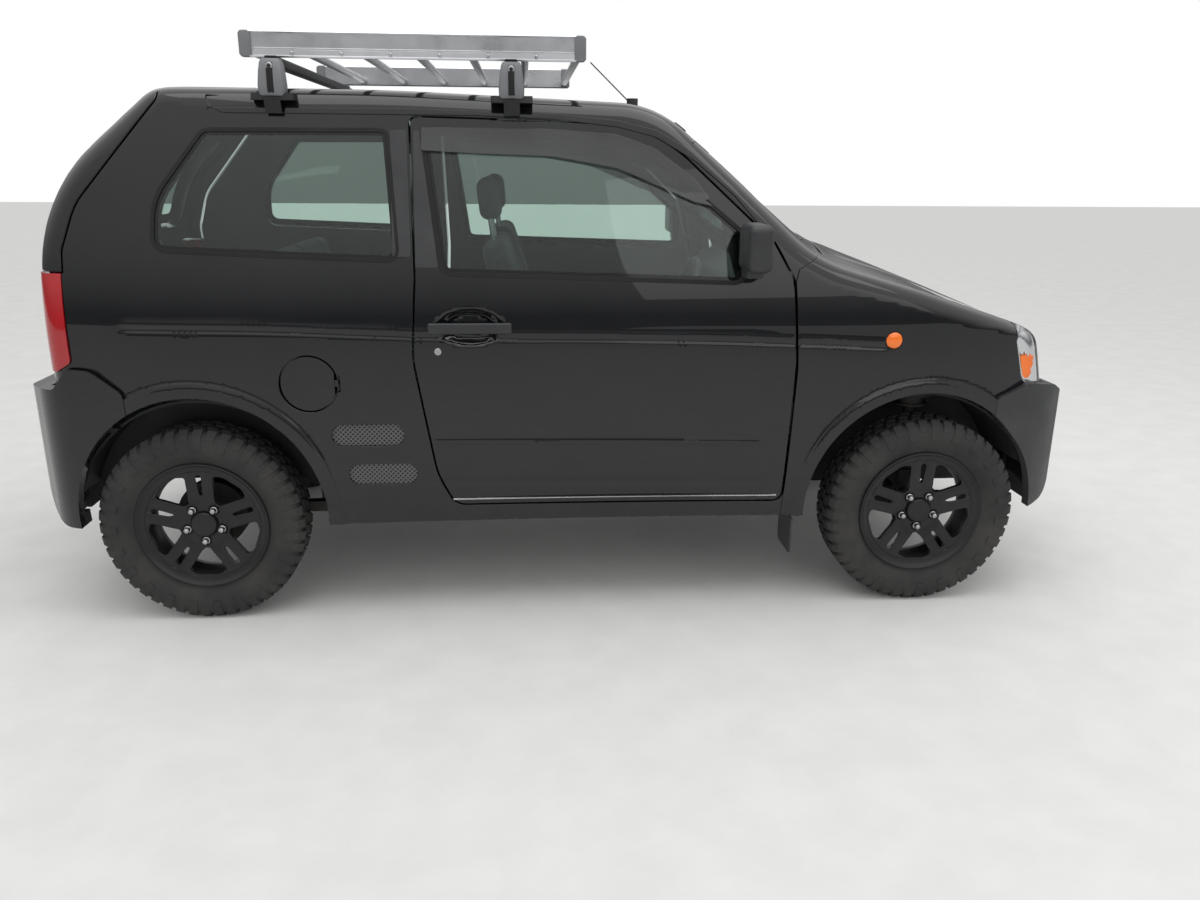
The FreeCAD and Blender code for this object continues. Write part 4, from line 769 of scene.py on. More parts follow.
def left_keep(p):
    x, y, z = p.T
    k = right(p) & (z > SKIRT) & (y < -ROOF_HALF) & ~within(p, "door", GAP) & ~within(p, "tail", GAP)
    for name in ("quarter", "fender", "tail_lamp", "rear_bumper", "front_arch", "rear_arch", "vent_0",
                 "vent_1"):
        k &= ~within(p, name)
    return k & ~(within(p, "windscreen", view="x") & (x > AHEAD_OF))


def right_keep(p):
    """As on the left, with the fuel lid's opening and the notch for its hinge."""
    return left_keep(p) & ~within(p, "fuel", FUEL_GAP) & ~within(p, "notch")


# The left panel goes without a line round its lower vent, so the edge there follows the grid
for tag, lines, kept in (("right", side_lines+lower_vent+more_lines, right_keep),
                         ("left", side_lines+more_lines, left_keep)):
    side_skin = panel(FLANK, lines, kept, step=17, lift=flank_lift, depth=58, back=True, rows=side_rows)
    place(make("side_skin_"+tag, side_skin, [PAINT, TRIM], mirror=tag == "left"), "body", "paint",
          "side_panel_"+tag)

# Fenders: from the front wheel opening up to the bonnet and back to the windscreen pillar
FENDER_INNER, FENDER_REAR = -500, 600
CORNER = Chart((900, 200, 700), (0.15, -1, 0.55), (1, 0, 0))
bonnet_line = closed("bonnet", view="z", lift=plain, grow=GAP)


def under_bonnet(p):
    return within(p, "bonnet", GAP, "z") & (p[:, 2] > BONNET_LOW-GAP)


def fender_keep(p):
    x, y, z = p.T
    k = (y < FENDER_INNER) & (z > SKIRT) & (x > FENDER_REAR) & within(p, "fender") & ~under_bonnet(p)
    for name in ("front_bumper", "head_lamp", "front_arch"):
        k &= ~within(p, name)
    return k & ~within(p, "windscreen", view="x")


fender_lines = closed("fender", "front_bumper", "head_lamp")+bonnet_line+closed("front_arch")+SHIELD_LINE
fender_lines += cut((650, FENDER_INNER), (950, FENDER_INNER), "z")
fender_rows = arch_rows(FRONT_ARCH)+crease_rows(CREASE, FRONT_X, 1040, NEAR_CREASE)
fender = panel(CORNER, fender_lines, fender_keep, step=15, lift=flank_lift, depth=26, rows=fender_rows)
both("fender_skin", fender, [PAINT], "body", "paint", ["fenders"])

# Roof and bonnet
ROOF_END, SHIELD_TOP_X, ROOF_LOW = -1208, 600, 1400
roof_lines = [line for s in (-1, 1) for line in cut((ROOF_REAR, s*ROOF_HALF), (ROOF_FRONT, s*ROOF_HALF), "z")]
roof_lines += SHIELD_LINE+cut((ROOF_END, -600), (ROOF_END, 600), "z")


def roof_keep(p):
    x, y, z = p.T
    k = (np.abs(y) < ROOF_HALF-1) & (x > ROOF_END) & (x < SHIELD_TOP_X) & (z > ROOF_LOW)
    return k & ~within(p, "windscreen", view="x")


roof = panel(UPPER, roof_lines, roof_keep, step=34, depth=20)
place(make("roof_skin", roof, [PAINT]), "body", "paint", "roof_panel")

FLAT["bonnet_skin"] = rounded([(823, -588, 25), (1800, -560), (1800, 560), (823, 588, 25), (915, 0, 1400)])


STEP_Y, STEP_FROM, STEP_SLANT, STEP_SOFT, STEP_HIGH = 470, 850, 0.14, 22, 3.5


def step_y(x):
    """How far from the middle the bonnet's soft step lies."""
    return STEP_Y-(x-STEP_FROM)*STEP_SLANT


def hood_lift(p):
    """Raised middle of the bonnet between two soft steps."""
    x, y = p[:, 0], np.abs(p[:, 1])
    rise = smooth(step_y(x)+STEP_SOFT, step_y(x)-STEP_SOFT, y)
    return STEP_HIGH*rise*smooth(880, 960, x)*smooth(1560, 1480, x)


def hood_keep(p):
    return within(p, "bonnet_skin", view="z") & (p[:, 2] > BONNET_LOW)


hood_lines = closed("bonnet_skin", view="z", lift=plain)
hood_lines += cut((-620, BONNET_LOW), (620, BONNET_LOW), "x", side=1)
along = np.arange(860, 1540, 24)
hood_rows = [on_skin(np.stack((along, s*(step_y(along)+k)), 1), "z")
             for s in (-1, 1) for k in (-STEP_SOFT, -STEP_SOFT/2, 0, STEP_SOFT/2, STEP_SOFT)]
hood = panel(HOOD, hood_lines, hood_keep, step=26, lift=hood_lift, depth=12, round_r=3, taper=3, back=True,
             rows=hood_rows)
place(make("bonnet_skin", hood, [PAINT, INNER]), "bonnet", "paint", "bonnet")

# Tailgate wraps the rear above the lamps
GATE_LOW, GATE_HALF, LAMP_TOP, LOWER_REAR, GATE_FRONT = 640, 555, 1122, -1300, -1200
gate_lines = [line for s in (-1, 1) for line in closed("tail", lift=plain, side=s)]
gate_lines += closed("rear_window", view="x", lift=plain)
gate_lines += [line for s in (-1, 1) for line in closed("tail_lamp", lift=plain, side=s)]
gate_lines += cut((-720, GATE_LOW), (720, GATE_LOW), "x")
gate_lines += [line for s in (-1, 1) for line in cut((s*GATE_HALF, 600), (s*GATE_HALF, 1180), "x")]


def gate_keep(p):
    x, y, z = p.T
    lower = (z <= LAMP_TOP) & (np.abs(y) < GATE_HALF) & (z > GATE_LOW) & (x < LOWER_REAR)
    return (within(p, "tail") | lower) & ~within(p, "rear_window", view="x") & (x < GATE_FRONT)


gate = panel(REAR, gate_lines, gate_keep, step=22, depth=40, round_r=3, taper=5, back=True)
place(make("tailgate_skin", gate, [PAINT, TRIM]), "tailgate", "paint", "tailgate")


def glass(name, chart, outline, view, side, border, body, node, gap, lift=-4.0, mirror=False):
    """Pane a little below the paint, with a black ceramic border."""
    low = level(lift)
    outer_loop, inner_loop = grown(outline, gap), grown(outline, -border)
    a, b = AXES[view]
    lines = [(on_skin(loop, view, low, side), True) for loop in (outer_loop, inner_loop)]

    def keep(p):
        return inside(outer_loop, p[:, a], p[:, b]) & (p[:, NEAR[view]]*side > 0)

    def paint(p):
        return np.where(inside(inner_loop, p[:, a], p[:, b]), 0, 1)
    data = panel(chart, lines, keep, step=40, lift=low, depth=3.5, round_r=0.8, back=True, paint=paint)
    p, faces, n, which = data
    # the inner copy keeps the same pattern of clear and black as the outer one
    tri = sum(1 for f in faces if len(f) == 3)//2
    which = which[:len(which)-tri]+which[:tri]
    place(make(name, (p, faces, n, which), [GLASS, FRIT], mirror), body, "window", node)


for tag, _ in SIDES:
    glass("door_pane_"+tag, FLANK, FLAT["door_glass"], "y", -1, 12, "door_"+tag, "door_glass_"+tag, 2.0,
          mirror=tag == "left")
for tag, _ in SIDES:
    glass("quarter_pane_"+tag, FLANK, FLAT["quarter"], "y", -1, 14, "body", "quarter_glass", -2.0, lift=-3.0,
          mirror=tag == "left")
SHIELD = Chart((0, 0, 900), (1, 0, 0.6), (0, 1, 0))
glass("windscreen_pane", SHIELD, FLAT["windscreen"], "x", 1, 46, "body", "windscreen", -2.5)
glass("tailgate_pane", REAR, FLAT["rear_window"], "x", -1, 40, "tailgate", "tailgate_glass", -2.5)


# Wheels

AXLE_X, TRACK_HALF, HUB_Z = 1180, 645, 320
BOLT_R, FACE_R, HUB_OUT, BOLTS = 57.15, 181, 46, 5
PITCHES, LUG_PART, MIDDLE_PART, TOP_TAPER = 46, 0.74, 0.72, 0.12
LUG_SKEW, MIDDLE_SKEW, SKEW_FROM = 0.012, 0.02, 40


def build(name, verts, faces, mats, smooth_faces=True, which=None):
    """Blender object from points in metres."""
    mesh = bpy.data.meshes.new(name)
    mesh.from_pydata([tuple(v) for v in verts], [], faces)
    for m in mats:
        mesh.materials.append(m)
    b = bmesh.new()
    b.from_mesh(mesh)
    bmesh.ops.remove_doubles(b, verts=b.verts, dist=1e-6)
    bmesh.ops.recalc_face_normals(b, faces=b.faces)
    b.to_mesh(mesh)
    b.free()
    mesh.polygons.foreach_set("use_smooth", [smooth_faces]*len(mesh.polygons))
    if which is not None and len(which) == len(mesh.polygons):
        mesh.polygons.foreach_set("material_index", which)
    mesh.update()
    obj = bpy.data.objects.new(name, mesh)
    bpy.context.scene.collection.objects.link(obj)
    return obj


def sharpen(obj, degrees=35):
    obj.data.set_sharp_from_angle(angle=math.radians(degrees))


def tube_faces(rings, n, base=0):
    """Four-sided faces between neighbouring rings of n points."""
    return [(base+i*n+j, base+i*n+(j+1) % n, base+(i+1)*n+(j+1) % n, base+(i+1)*n+j)
            for i in range(rings-1) for j in range(n)]


def round_ring(r, n):
    """Points (a, b) of a circle about the middle."""
    return [(r*math.cos(t), r*math.sin(t)) for t in np.linspace(0, 2*math.pi, n, endpoint=False)]


def on_wheel(x, side, out, r, angle):
    """Point of a wheel: out from its middle plane, radius and angle, millimetres to metres."""
    return (MM*(x+r*math.cos(angle)), MM*side*(TRACK_HALF+out), MM*(HUB_Z+r*math.sin(angle)))


def lathe(profile, x, side, n=120):
    """Ring of faces from an open (out, radius) profile about the wheel's axis."""
    verts = [on_wheel(x, side, o, r, 2*math.pi*k/n) for k in range(n) for o, r in profile]
    m = len(profile)
    faces = [(k*m+i, k*m+i+1, (k+1) % n*m+i+1, (k+1) % n*m+i) for k in range(n) for i in range(m-1)]
    return verts, faces


TYRE_BASE = [(55, 194), (61, 194), (61.5, 212), (65, 216), (64.5, 219), (69, 224), (78.5, 240), (84.5, 262),
             (83, 282), (77, 298), (68, 307), (58, 311), (30, 311.5), (0, 311.5)]
TYRE_BASE = TYRE_BASE+[(-o, r) for o, r in TYRE_BASE[-2::-1]]
LONG = ([(38, 320), (61, 319.4), (70, 311.5), (78.6, 303.3), (84, 285), (87, 268), (86.4, 258)],
        [(38, 310), (59, 309), (67, 305), (75, 297), (81, 282), (84, 267), (84, 258)])
SHORT = ([(40, 320), (61, 319.4), (70, 311.5), (78.6, 303.3), (83.4, 287), (82.6, 284)],
         [(40, 310), (59, 309), (67, 305), (75, 297), (80.5, 287), (81, 284)])
CENTRE = [([(5, 320), (20, 320.0), (33, 320)], [(5, 310), (20, 310), (33, 310)]),
          ([(-33, 320), (-20, 320.0), (-5, 320)], [(-33, 310), (-20, 310), (-5, 310)])]


def tread(x, side):
    """Lugs of an all-terrain tyre: long and short shoulder blocks, and staggered middle blocks."""
    verts, faces = [], []

    def lug(top, low, angle, width, skew, flip=1):
        n = len(top)
        start = len(verts)
        for edge in (-0.5, 0.5):
            for points in (top, low):
                for i, (o, r) in enumerate(points):
                    a = angle+edge*width*(1-TOP_TAPER*(points is top))+skew*(abs(o)-SKEW_FROM)/SKEW_FROM
                    verts.append(on_wheel(x, side, o*flip, r, a))
        t0, l0, t1, l1 = start, start+n, start+2*n, start+3*n
        for i in range(n-1):
            faces.append((t0+i, t0+i+1, t1+i+1, t1+i))
            faces.append((t0+i, l0+i, l0+i+1, t0+i+1))
            faces.append((t1+i, t1+i+1, l1+i+1, l1+i))
        faces.append((t0, t1, l1, l0))
        faces.append((t0+n-1, l0+n-1, l1+n-1, t1+n-1))
    step = 2*math.pi/PITCHES
    for k in range(PITCHES):
        for flip, turn in ((1, 0.0), (-1, 0.5)):
            top, low = LONG if k % 2 else SHORT
            lug(top, low, (k+turn)*step, step*LUG_PART, LUG_SKEW*flip, flip)
        for j, (top, low) in enumerate(CENTRE):
            lug(top, low, (k+0.3+0.5*j)*step, step*MIDDLE_PART, -MIDDLE_SKEW if j else MIDDLE_SKEW)
    return verts, faces


CAP = [(46.2, 41), (54, 40), (57, 37), (58, 33), (57.2, 30), (57.2, 0.5)]
NUT_RINGS = [(46.2, 11.6), (47.5, 11.6), (48.5, 9.8), (60, 9.6), (63.5, 7.6), (65.5, 4), (66, 0.4)]
NUT_SIDES = 12


def bolt_angle(k):
    return math.pi/2+2*math.pi*(k+0.5)/BOLTS


def nuts_and_cap(x, side):
    verts, faces = lathe(CAP, x, side, 48)
    which = [0]*len(faces)
    for k in range(BOLTS):
        cx, cz = BOLT_R*math.cos(bolt_angle(k)), BOLT_R*math.sin(bolt_angle(k))
        base = len(verts)
        for o, r in NUT_RINGS:
            for j in range(NUT_SIDES):
                hexed = r*(1.0 if r > 10.5 or r < 8 else 1-0.05*(j % 2))
                b = math.pi*j/6
                verts.append((MM*(x+cx+hexed*math.cos(b)), MM*side*(TRACK_HALF+o),
                              MM*(HUB_Z+cz+hexed*math.sin(b))))
        more = tube_faces(len(NUT_RINGS), NUT_SIDES, base)
        faces += more
        which += [1]*len(more)
    return verts, faces, which


def turned(points, angle):
    c, s = math.cos(angle), math.sin(angle)
    return np.stack((points[:, 0]*c-points[:, 1]*s, points[:, 0]*s+points[:, 1]*c), 1)


def rim_height(a, b):
    """How far the spoke disc stands out of the wheel's middle plane."""
    r = np.hypot(a, b)
    # the disc rises outwards from the hub in two soft steps
    h = HUB_OUT+6*smooth(66, 96, r)+5*smooth(110, 178, r)
    for k in range(BOLTS):
        t = math.pi/2+2*math.pi*k/BOLTS
        across = np.abs(a*math.sin(t)-b*math.cos(t))
        ahead = (a*math.cos(t)+b*math.sin(t)) > 0
        # two raised spokes beside a shallow groove, and a round seat between the pairs
        h = h+np.where(ahead, ridge(across-26, 3.0, 15)*smooth(84, 110, r), 0)
        h = h-np.where(ahead, 2.5*smooth(10, 4, across)*smooth(84, 100, r), 0)
        q = t+math.pi/BOLTS
        h = h-4.0*smooth(15.5, 12.5, np.hypot(a-BOLT_R*math.cos(q), b-BOLT_R*math.sin(q)))
    return h-1.5*smooth(43, 40, r)


SPOKE_GAP = [(-8, 80, 7), (8, 80, 7), (60, 156, 10), (34, 172, 30), (-34, 172, 30), (-60, 156, 10)]
SPOKE_SLOT = [(-4, 98, 3.5), (4, 98, 3.5), (8, 166, 7), (-8, 166, 7)]


def rim_face(x, side):
    """Spoke disc: five pairs of spokes, a slot in each pair, recessed lug seats."""
    opening, slot = rounded(SPOKE_GAP, 5), rounded(SPOKE_SLOT, 4)
    holes = []
    for k in range(BOLTS):
        a = 2*math.pi*k/BOLTS
        holes += [turned(opening, a+math.pi/BOLTS), turned(slot, a)]
    seats = [circle(BOLT_R*math.cos(b), BOLT_R*math.sin(b), 15, 28) for b in map(bolt_angle, range(BOLTS))]
    loops = [circle(0, 0, FACE_R, 120)]+holes+seats+[circle(0, 0, r, 72) for r in (42, 70)]

    def surface(uv):
        a, b = uv.T
        ga = (rim_height(a+0.7, b)-rim_height(a-0.7, b))/1.4
        gb = (rim_height(a, b+0.7)-rim_height(a, b-0.7))/1.4
        p = np.stack((x+a, side*(TRACK_HALF+rim_height(a, b)), HUB_Z+b), 1)
        n = np.stack((-ga, side*np.ones(len(a)), -gb), 1)
        return p, n/np.linalg.norm(n, axis=1)[:, None]

    def keep(m):
        k = np.hypot(m[:, 0], m[:, 1]) < FACE_R
        for hole in holes:
            k &= ~inside(hole, m[:, 0], m[:, 1])
        return k
    return plate(loops, keep, surface, step=7, depth=20, round_r=2.2)


BARREL = [(58, 181), (60, 187), (62, 192), (66, 200), (70, 203), (71, 206), (70, 208), (66, 208)]
INSIDE = [(58, 182), (52, 176), (30, 170), (-20, 170), (-60, 180), (-69, 190), (-71, 204)]
for end, x in (("front", AXLE_X), ("rear", -AXLE_X)):
    for tag, side in SIDES:
        body, spot = f"wheel_{end}_{tag}", f"{end}_{tag}"
        place(make("wheel_face_"+spot, rim_face(x, side), [RIM]), body, "wheel_black", "rim_"+spot)
        v, f = lathe(BARREL, x, side)
        v2, f2 = lathe(INSIDE, x, side)
        ring = build("wheel_barrel_"+spot, v+v2, f+[tuple(i+len(v) for i in q) for q in f2], [RIM])
        sharpen(ring, 40)
        place(ring, body, "wheel_black", "rim_"+spot)
        place(build("tyre_carcass_"+spot, *lathe(TYRE_BASE, x, side), [TYRE]), body, "tyre", "tyre_"+spot)
        place(build("tyre_lugs_"+spot, *tread(x, side), [TYRE], False), body, "tyre", "tyre_"+spot)
        v, f, w = nuts_and_cap(x, side)
        place(build("wheel_nuts_"+spot, v, f, [RIM, NUT], False, w), body, "steel")

# Seats

CHANNEL, CHANNEL_WIDE, CROSS_DEEP = 7.5, 4.5, 6


def cushion(name, outline, y0, y1, node, crown=7.0, end=30.0, seams=(), cross=(), fill=0.7, bolster=0.0):
    """Crowned closed cushion: an x-z outline carried across, round ends, sewn channels and side bolsters."""
    loop = grown(rounded([(a, b, max(r, 12)) for a, b, r in outline], 9), -crown)
    mid, half = (y0+y1)/2, (y1-y0)/2
    bend = end*(1-np.cos(np.linspace(0, math.pi/2, 7)))
    near_seams = [[q-7, q-3, q, q+3, q+7] for q in seams]
    ys = sorted(set(np.round(np.concatenate((
        np.linspace(-half, half, 27), *near_seams, half-bend, -half+bend)), 2)))
    centre = loop.mean(0)
    verts = []
    for y in ys:
        into = max(0.0, (abs(y)-(half-end))/end)
        shrink = end*0.62*(1-math.sqrt(max(0, 1-into*into)))
        puff = crown*(1-(y/half)**2)**0.6
        for q in seams:
            puff -= CHANNEL*math.exp(-((y-q)/CHANNEL_WIDE)**2)
        puff += bolster*math.exp(-((abs(y)-half*0.80)/(half*0.16))**2)
        section = grown(loop, puff-shrink)
        inwards = (centre-section)/np.linalg.norm(centre-section, axis=1)[:, None]
        grooved = section.copy()
        for gx, gz, wide in cross:
            d = np.hypot(section[:, 0]-gx, section[:, 1]-gz)
            grooved += inwards*(ridge(d, CROSS_DEEP, wide)*(1-into))[:, None]
        verts += [(MM*a, MM*(mid+y), MM*b) for a, b in grooved]
    n = len(loop)
    faces = tube_faces(len(ys), n)+[tuple(range(n)), tuple(reversed(range((len(ys)-1)*n, len(ys)*n)))]
    obj = build(name, verts, faces, [CLOTH])
    sharpen(obj, 50)
    place(obj, "body", "seat_cloth", node)


def posts(side):
    """Two leaning posts of a head rest."""
    verts, faces = [], []
    for y in (side*433, side*252):
        faces += tube_faces(4, 16, len(verts))
        verts += [(MM*(-240+a-0.14*(z-1180)), MM*(y+b), MM*z) for z in (1165, 1200, 1240, 1275)
                  for a, b in round_ring(7, 16)]
    return verts, faces


def seat_base(side):
    base = rounded([(-20, 319, 18), (360, 319, 18), (340, 578, 30), (0, 578, 30)], 16)
    n, ends = len(base), (1, 0.4, 0, 0, 0, 0, 0.4, 1)
    verts = [(MM*(170+(a-170)*(1-0.04*k)), MM*y, MM*b)
             for y, k in zip(np.linspace(side*164, side*516, len(ends)), ends) for a, b in base]
    return verts, tube_faces(len(ends), n)+[tuple(range(n)), tuple(range(7*n, 8*n))]


SEAT_CUSHION = [(-90, 560, 24), (400, 570, 40), (420, 690, 50), (-10, 670, 40), (-90, 640, 24)]
SEAT_BACK = [(-90, 600, 30), (-30, 610, 30), (-60, 800, 60), (-196, 1205, 32), (-276, 1190, 32),
             (-180, 700, 60)]
HEAD_REST = [(-212, 1262, 30), (-222, 1398, 36), (-300, 1392, 36), (-284, 1255, 30)]
for tag, side in SIDES:
    cushion("front_cushion_"+tag, SEAT_CUSHION, *sorted((side*575, side*110)), "front_seats",
            seams=(-140, 0, 140), cross=((120, 690, 10), (260, 695, 10)), bolster=6)
    cushion("front_back_"+tag, SEAT_BACK, *sorted((side*570, side*115)), "front_seats",
            seams=(-135, 135), cross=((-105, 900, 12), (-135, 1000, 12)), bolster=8)
    cushion("head_rest_"+tag, HEAD_REST, *sorted((side*465, side*220)), "front_seats",
            end=40, crown=9, seams=(0,), fill=0.85)
    place(build("head_rest_posts_"+tag, *posts(side), [NUT]), "body", "steel", "front_seats")
    place(build("seat_base_"+tag, *seat_base(side), [TRIM]), "body", "trim", "front_seats")
REAR_CUSHION = [(-840, 636, 20), (-420, 636, 30), (-400, 760, 50), (-840, 730, 30)]
REAR_BACK = [(-846, 645, 20), (-848, 735, 20), (-960, 1150, 40), (-1040, 1130, 30), (-930, 645, 20)]
REAR_SEAMS = (-330, 0, 330)
cushion("rear_cushion", REAR_CUSHION, -500, 500, "rear_seat", seams=REAR_SEAMS, cross=((-600, 750, 12),))
cushion("rear_back", REAR_BACK, -500, 500, "rear_seat", seams=REAR_SEAMS, cross=((-905, 950, 14),))

# Seals, bands and small parts of the flank


def ring_piece(name, outer, raised_by, look, inner=None, slot="dark_plastic", on_door=False, thick=6, step=30,
               round_r=1.5, over=flank_lift, mirrored_too=True):
    """Raised band between two outlines on the flank, or a solid patch where there is no inner one."""
    def raised(p):
        return over(p)+raised_by

    def keep(p):
        k = inside(outer, p[:, 0], p[:, 2]) & right(p)
        return k if inner is None else k & ~inside(inner, p[:, 0], p[:, 2])
    body, body_left = ("door_right", "door_left") if on_door else ("body", "body")
    lines = [(on_skin(loop, "y", raised), True) for loop in (outer, inner) if loop is not None]
    data = panel(FLANK, lines, keep, step=step, lift=raised, depth=thick, round_r=round_r)
    if mirrored_too:
        both(name, data, [look], body, slot, body_left=body_left)
    else:
        place(make(name, data, [look]), body, slot)


ring_piece("door_seal", xz("door_glass", 11), 1.6, RUBBER, xz("door_glass", -3), on_door=True)
ring_piece("quarter_seal", xz("quarter", 7), 1.5, RUBBER, xz("quarter", -5))
STRIP_REAR = rounded([(-537, 1165, 8), (-537, 1530, 8), (-487, 1533, 8), (-482, 1165, 8)])
ring_piece("pillar_strip_rear", STRIP_REAR, 1.2, DARK, thick=3)
STRIP_FRONT = rounded([(-470, 1135, 6), (-468, 1530, 6), (-450, 1530, 6), (-415, 1250, 40), (-401, 1135, 6)])
ring_piece("pillar_strip_front", STRIP_FRONT, 1.2, DARK, on_door=True, thick=3)
GUTTER = rounded([(627, 1226, 4), (618, 1222, 4), (506, 1349, 60), (385, 1449, 60), (262, 1519, 90),
                  (144, 1547, 90), (-49, 1567, 200), (-279, 1575, 200), (-1060, 1575, 60), (-1062, 1590, 6),
                  (-471, 1593, 200), (-49, 1584, 200), (144, 1566, 90), (266, 1539, 90), (389, 1470, 60),
                  (508, 1370, 60)], 10)
ring_piece("gutter", GUTTER, 3.5, PAINT, slot="paint", thick=8, over=plain, step=20)
VISOR = rounded([(-444, 1474, 6), (-280, 1466, 100), (-50, 1459, 100), (143, 1427, 90), (260, 1380, 60),
                 (378, 1330, 30), (440, 1316, 14), (462, 1300, 8), (380, 1400, 80), (261, 1486, 80),
                 (144, 1526, 80), (-49, 1539, 200), (-443, 1540, 8)], 10)


def visor_lift(p):
    return 4+9*smooth(1540, 1440, p[:, 2]+0.22*np.maximum(p[:, 0], 0))


ring_piece("visor", VISOR, 0.0, SMOKE, slot="window", on_door=True, thick=2.5, over=visor_lift, round_r=1.0)
REPEATER_X, REPEATER_Z, REPEATER_R = 1020, 912, 26


def dome(p):
    r = np.hypot(p[:, 0]-REPEATER_X, p[:, 2]-REPEATER_Z)
    return 9*np.sqrt(np.maximum(0, 1-(r/(REPEATER_R+1))**2))


def repeater_loop(grow, n):
    return circle(REPEATER_X, REPEATER_Z, REPEATER_R+grow, n)


ring_piece("repeater", repeater_loop(0, 32), 0.0, AMBER, slot="lamp_red", thick=4, over=dome, step=6)
ring_piece("repeater_ring", repeater_loop(5, 40), 1.5, RUBBER, repeater_loop(0, 40), thick=3)
ring_piece("door_lock", circle(-410, 884, 11, 28), 1.8, NUT, slot="steel", on_door=True, thick=3, step=5)
SILL_LINE = rounded([(-382, 402, 3), (-382, 396, 3), (676, 393, 3), (676, 399, 3)])
ring_piece("sill_line", SILL_LINE, 1.4, NUT, slot="steel", on_door=True, thick=2, round_r=0.8)
ring_piece("fuel_pocket", circle(FUEL_X, FUEL_Z, FUEL_R+7, 64), -27, PAINT, slot="paint", thick=3,
           mirrored_too=False)
LAMP_CHART = Chart((1180, -160, 830), (1, -0.85, 0), (1, 1, 0))
LAMP_INNER, LAMP_CUT_X, LAMP_LEVEL = -345, 1497, level(-24.0)
AMBER_FRONT, AMBER_LOW, AMBER_HIGH = 1522, 775, 850
lamp_loop = grown(FLAT["head_lamp"], -2.5)
lamp_lines = [(on_skin(lamp_loop, "y"), True)]+cut((LAMP_INNER, 700), (LAMP_INNER, 900), "x", side=1)
lamp_lines += cut((LAMP_CUT_X, 730), (LAMP_CUT_X, 960), "y")+bonnet_line


def lamp_keep(p):
    return (p[:, 1] < LAMP_INNER) & inside(lamp_loop, p[:, 0], p[:, 2]) & ~under_bonnet(p)


def back_keep(p):
    return (p[:, 1] < LAMP_INNER-5) & inside(lamp_loop, p[:, 0], p[:, 2])


def amber_part(p):
    return np.where((p[:, 0] < AMBER_FRONT) & (p[:, 2] > AMBER_LOW) & (p[:, 2] < AMBER_HIGH), 1, 0)


lamp_skin = panel(LAMP_CHART, lamp_lines, lamp_keep, step=16, depth=5, round_r=1.5, paint=amber_part)
both("lamp_cover", lamp_skin, [CLEAR, AMBER], "body", "lamp_clear", ["headlamps"], ["headlamps"])
lamp_back = panel(LAMP_CHART, [(on_skin(lamp_loop, "y", LAMP_LEVEL), True)], back_keep, step=16,
                  lift=LAMP_LEVEL, depth=5, round_r=1.5)
both("lamp_reflector", lamp_back, [MIRROR], "body", "lamp_clear", ["headlamps"], ["headlamps"])


# Roof rack


def loft(name, sections, look, slot="dark_plastic", node="rack_bars", sharp=40):
    """Piece of the rack through closed sections of equally many points, in millimetres."""
    n, count = len(sections[0]), len(sections)
    verts = [(MM*a, MM*b, MM*c) for ring in sections for a, b, c in ring]
    faces = tube_faces(count, n)+[tuple(range(n)), tuple(range((count-1)*n, count*n))]
    obj = build(name, verts, faces, [look])
    sharpen(obj, sharp)
    place(obj, "body", slot, node)


def rect(half_a, half_b, r, n=4):
    """Rounded rectangle about the middle."""
    out = []
    for ca, cb, start in ((1, 1, 0), (-1, 1, 90), (-1, -1, 180), (1, -1, 270)):
        for k in range(n):
            t = math.radians(start+90*k/(n-1))
            out.append((ca*(half_a-r)+r*math.cos(t), cb*(half_b-r)+r*math.sin(t)))
    return out


RAIL_LOW, RAIL_HIGH, RAIL_Y, RACK_REAR, RACK_FRONT = 1732, 1806, 558, -966, 53
RAIL_WEB = [(RAIL_LOW, -9), (RAIL_LOW, 3), (RAIL_LOW+4, 5), (RAIL_LOW+7, -3), (RAIL_LOW+21, -4),
            (RAIL_LOW+23, -2.2), (RAIL_LOW+26, -2.2), (RAIL_LOW+28, -4), (RAIL_HIGH-7, -3), (RAIL_HIGH-4, 5),
            (RAIL_HIGH, 3), (RAIL_HIGH, -9), (RAIL_HIGH-4, -12), (RAIL_LOW+4, -12)]
RUNG_Z, RUNG_R, RUNGS, BAR_Z, LOCK_Z = 1752, 12.5, 7, 1719, 1702
CAP_LONG, CAP_HALF_Y, CAP_HALF_Z, CAP_RUN, CAP_ROUND = 34, 10, 37, 12, 7
RIVET = [(0, 4.6), (1.4, 4.4), (2.4, 3.0), (2.8, 0.3)]
LOCK = [(0, 10), (6, 10), (7.5, 8.5), (7.5, 5), (5.5, 4), (5.5, 0.3)]
TOWER = [(1612, 31, 596, 628), (1630, 37, 588, 640), (1650, 38, 584, 643), (1690, 34, 580, 640),
         (1714, 30, 580, 636), (1724, 25, 584, 630)]
BAR_CAP = [(596, 1), (606, 1), (611, 0.9), (612, 0.7), (608, 0.66), (608, 0.05)]


def rail_cap(x0, x1, outer_x, y0, side):
    """Sections of a rail's end cap, rounded towards its outer end."""
    sections = []
    for x in np.linspace(x0, x1, 7):
        near = max(0.0, 1-abs(x-outer_x)/CAP_RUN)
        shrink = CAP_ROUND*(1-math.sqrt(max(0, 1-near*near)))
        sections.append([(x, y0-side*(2-a), (RAIL_LOW+RAIL_HIGH)/2+b)
                         for a, b in rect(CAP_HALF_Y-shrink*0.4, CAP_HALF_Z-shrink, 4)])
    return sections


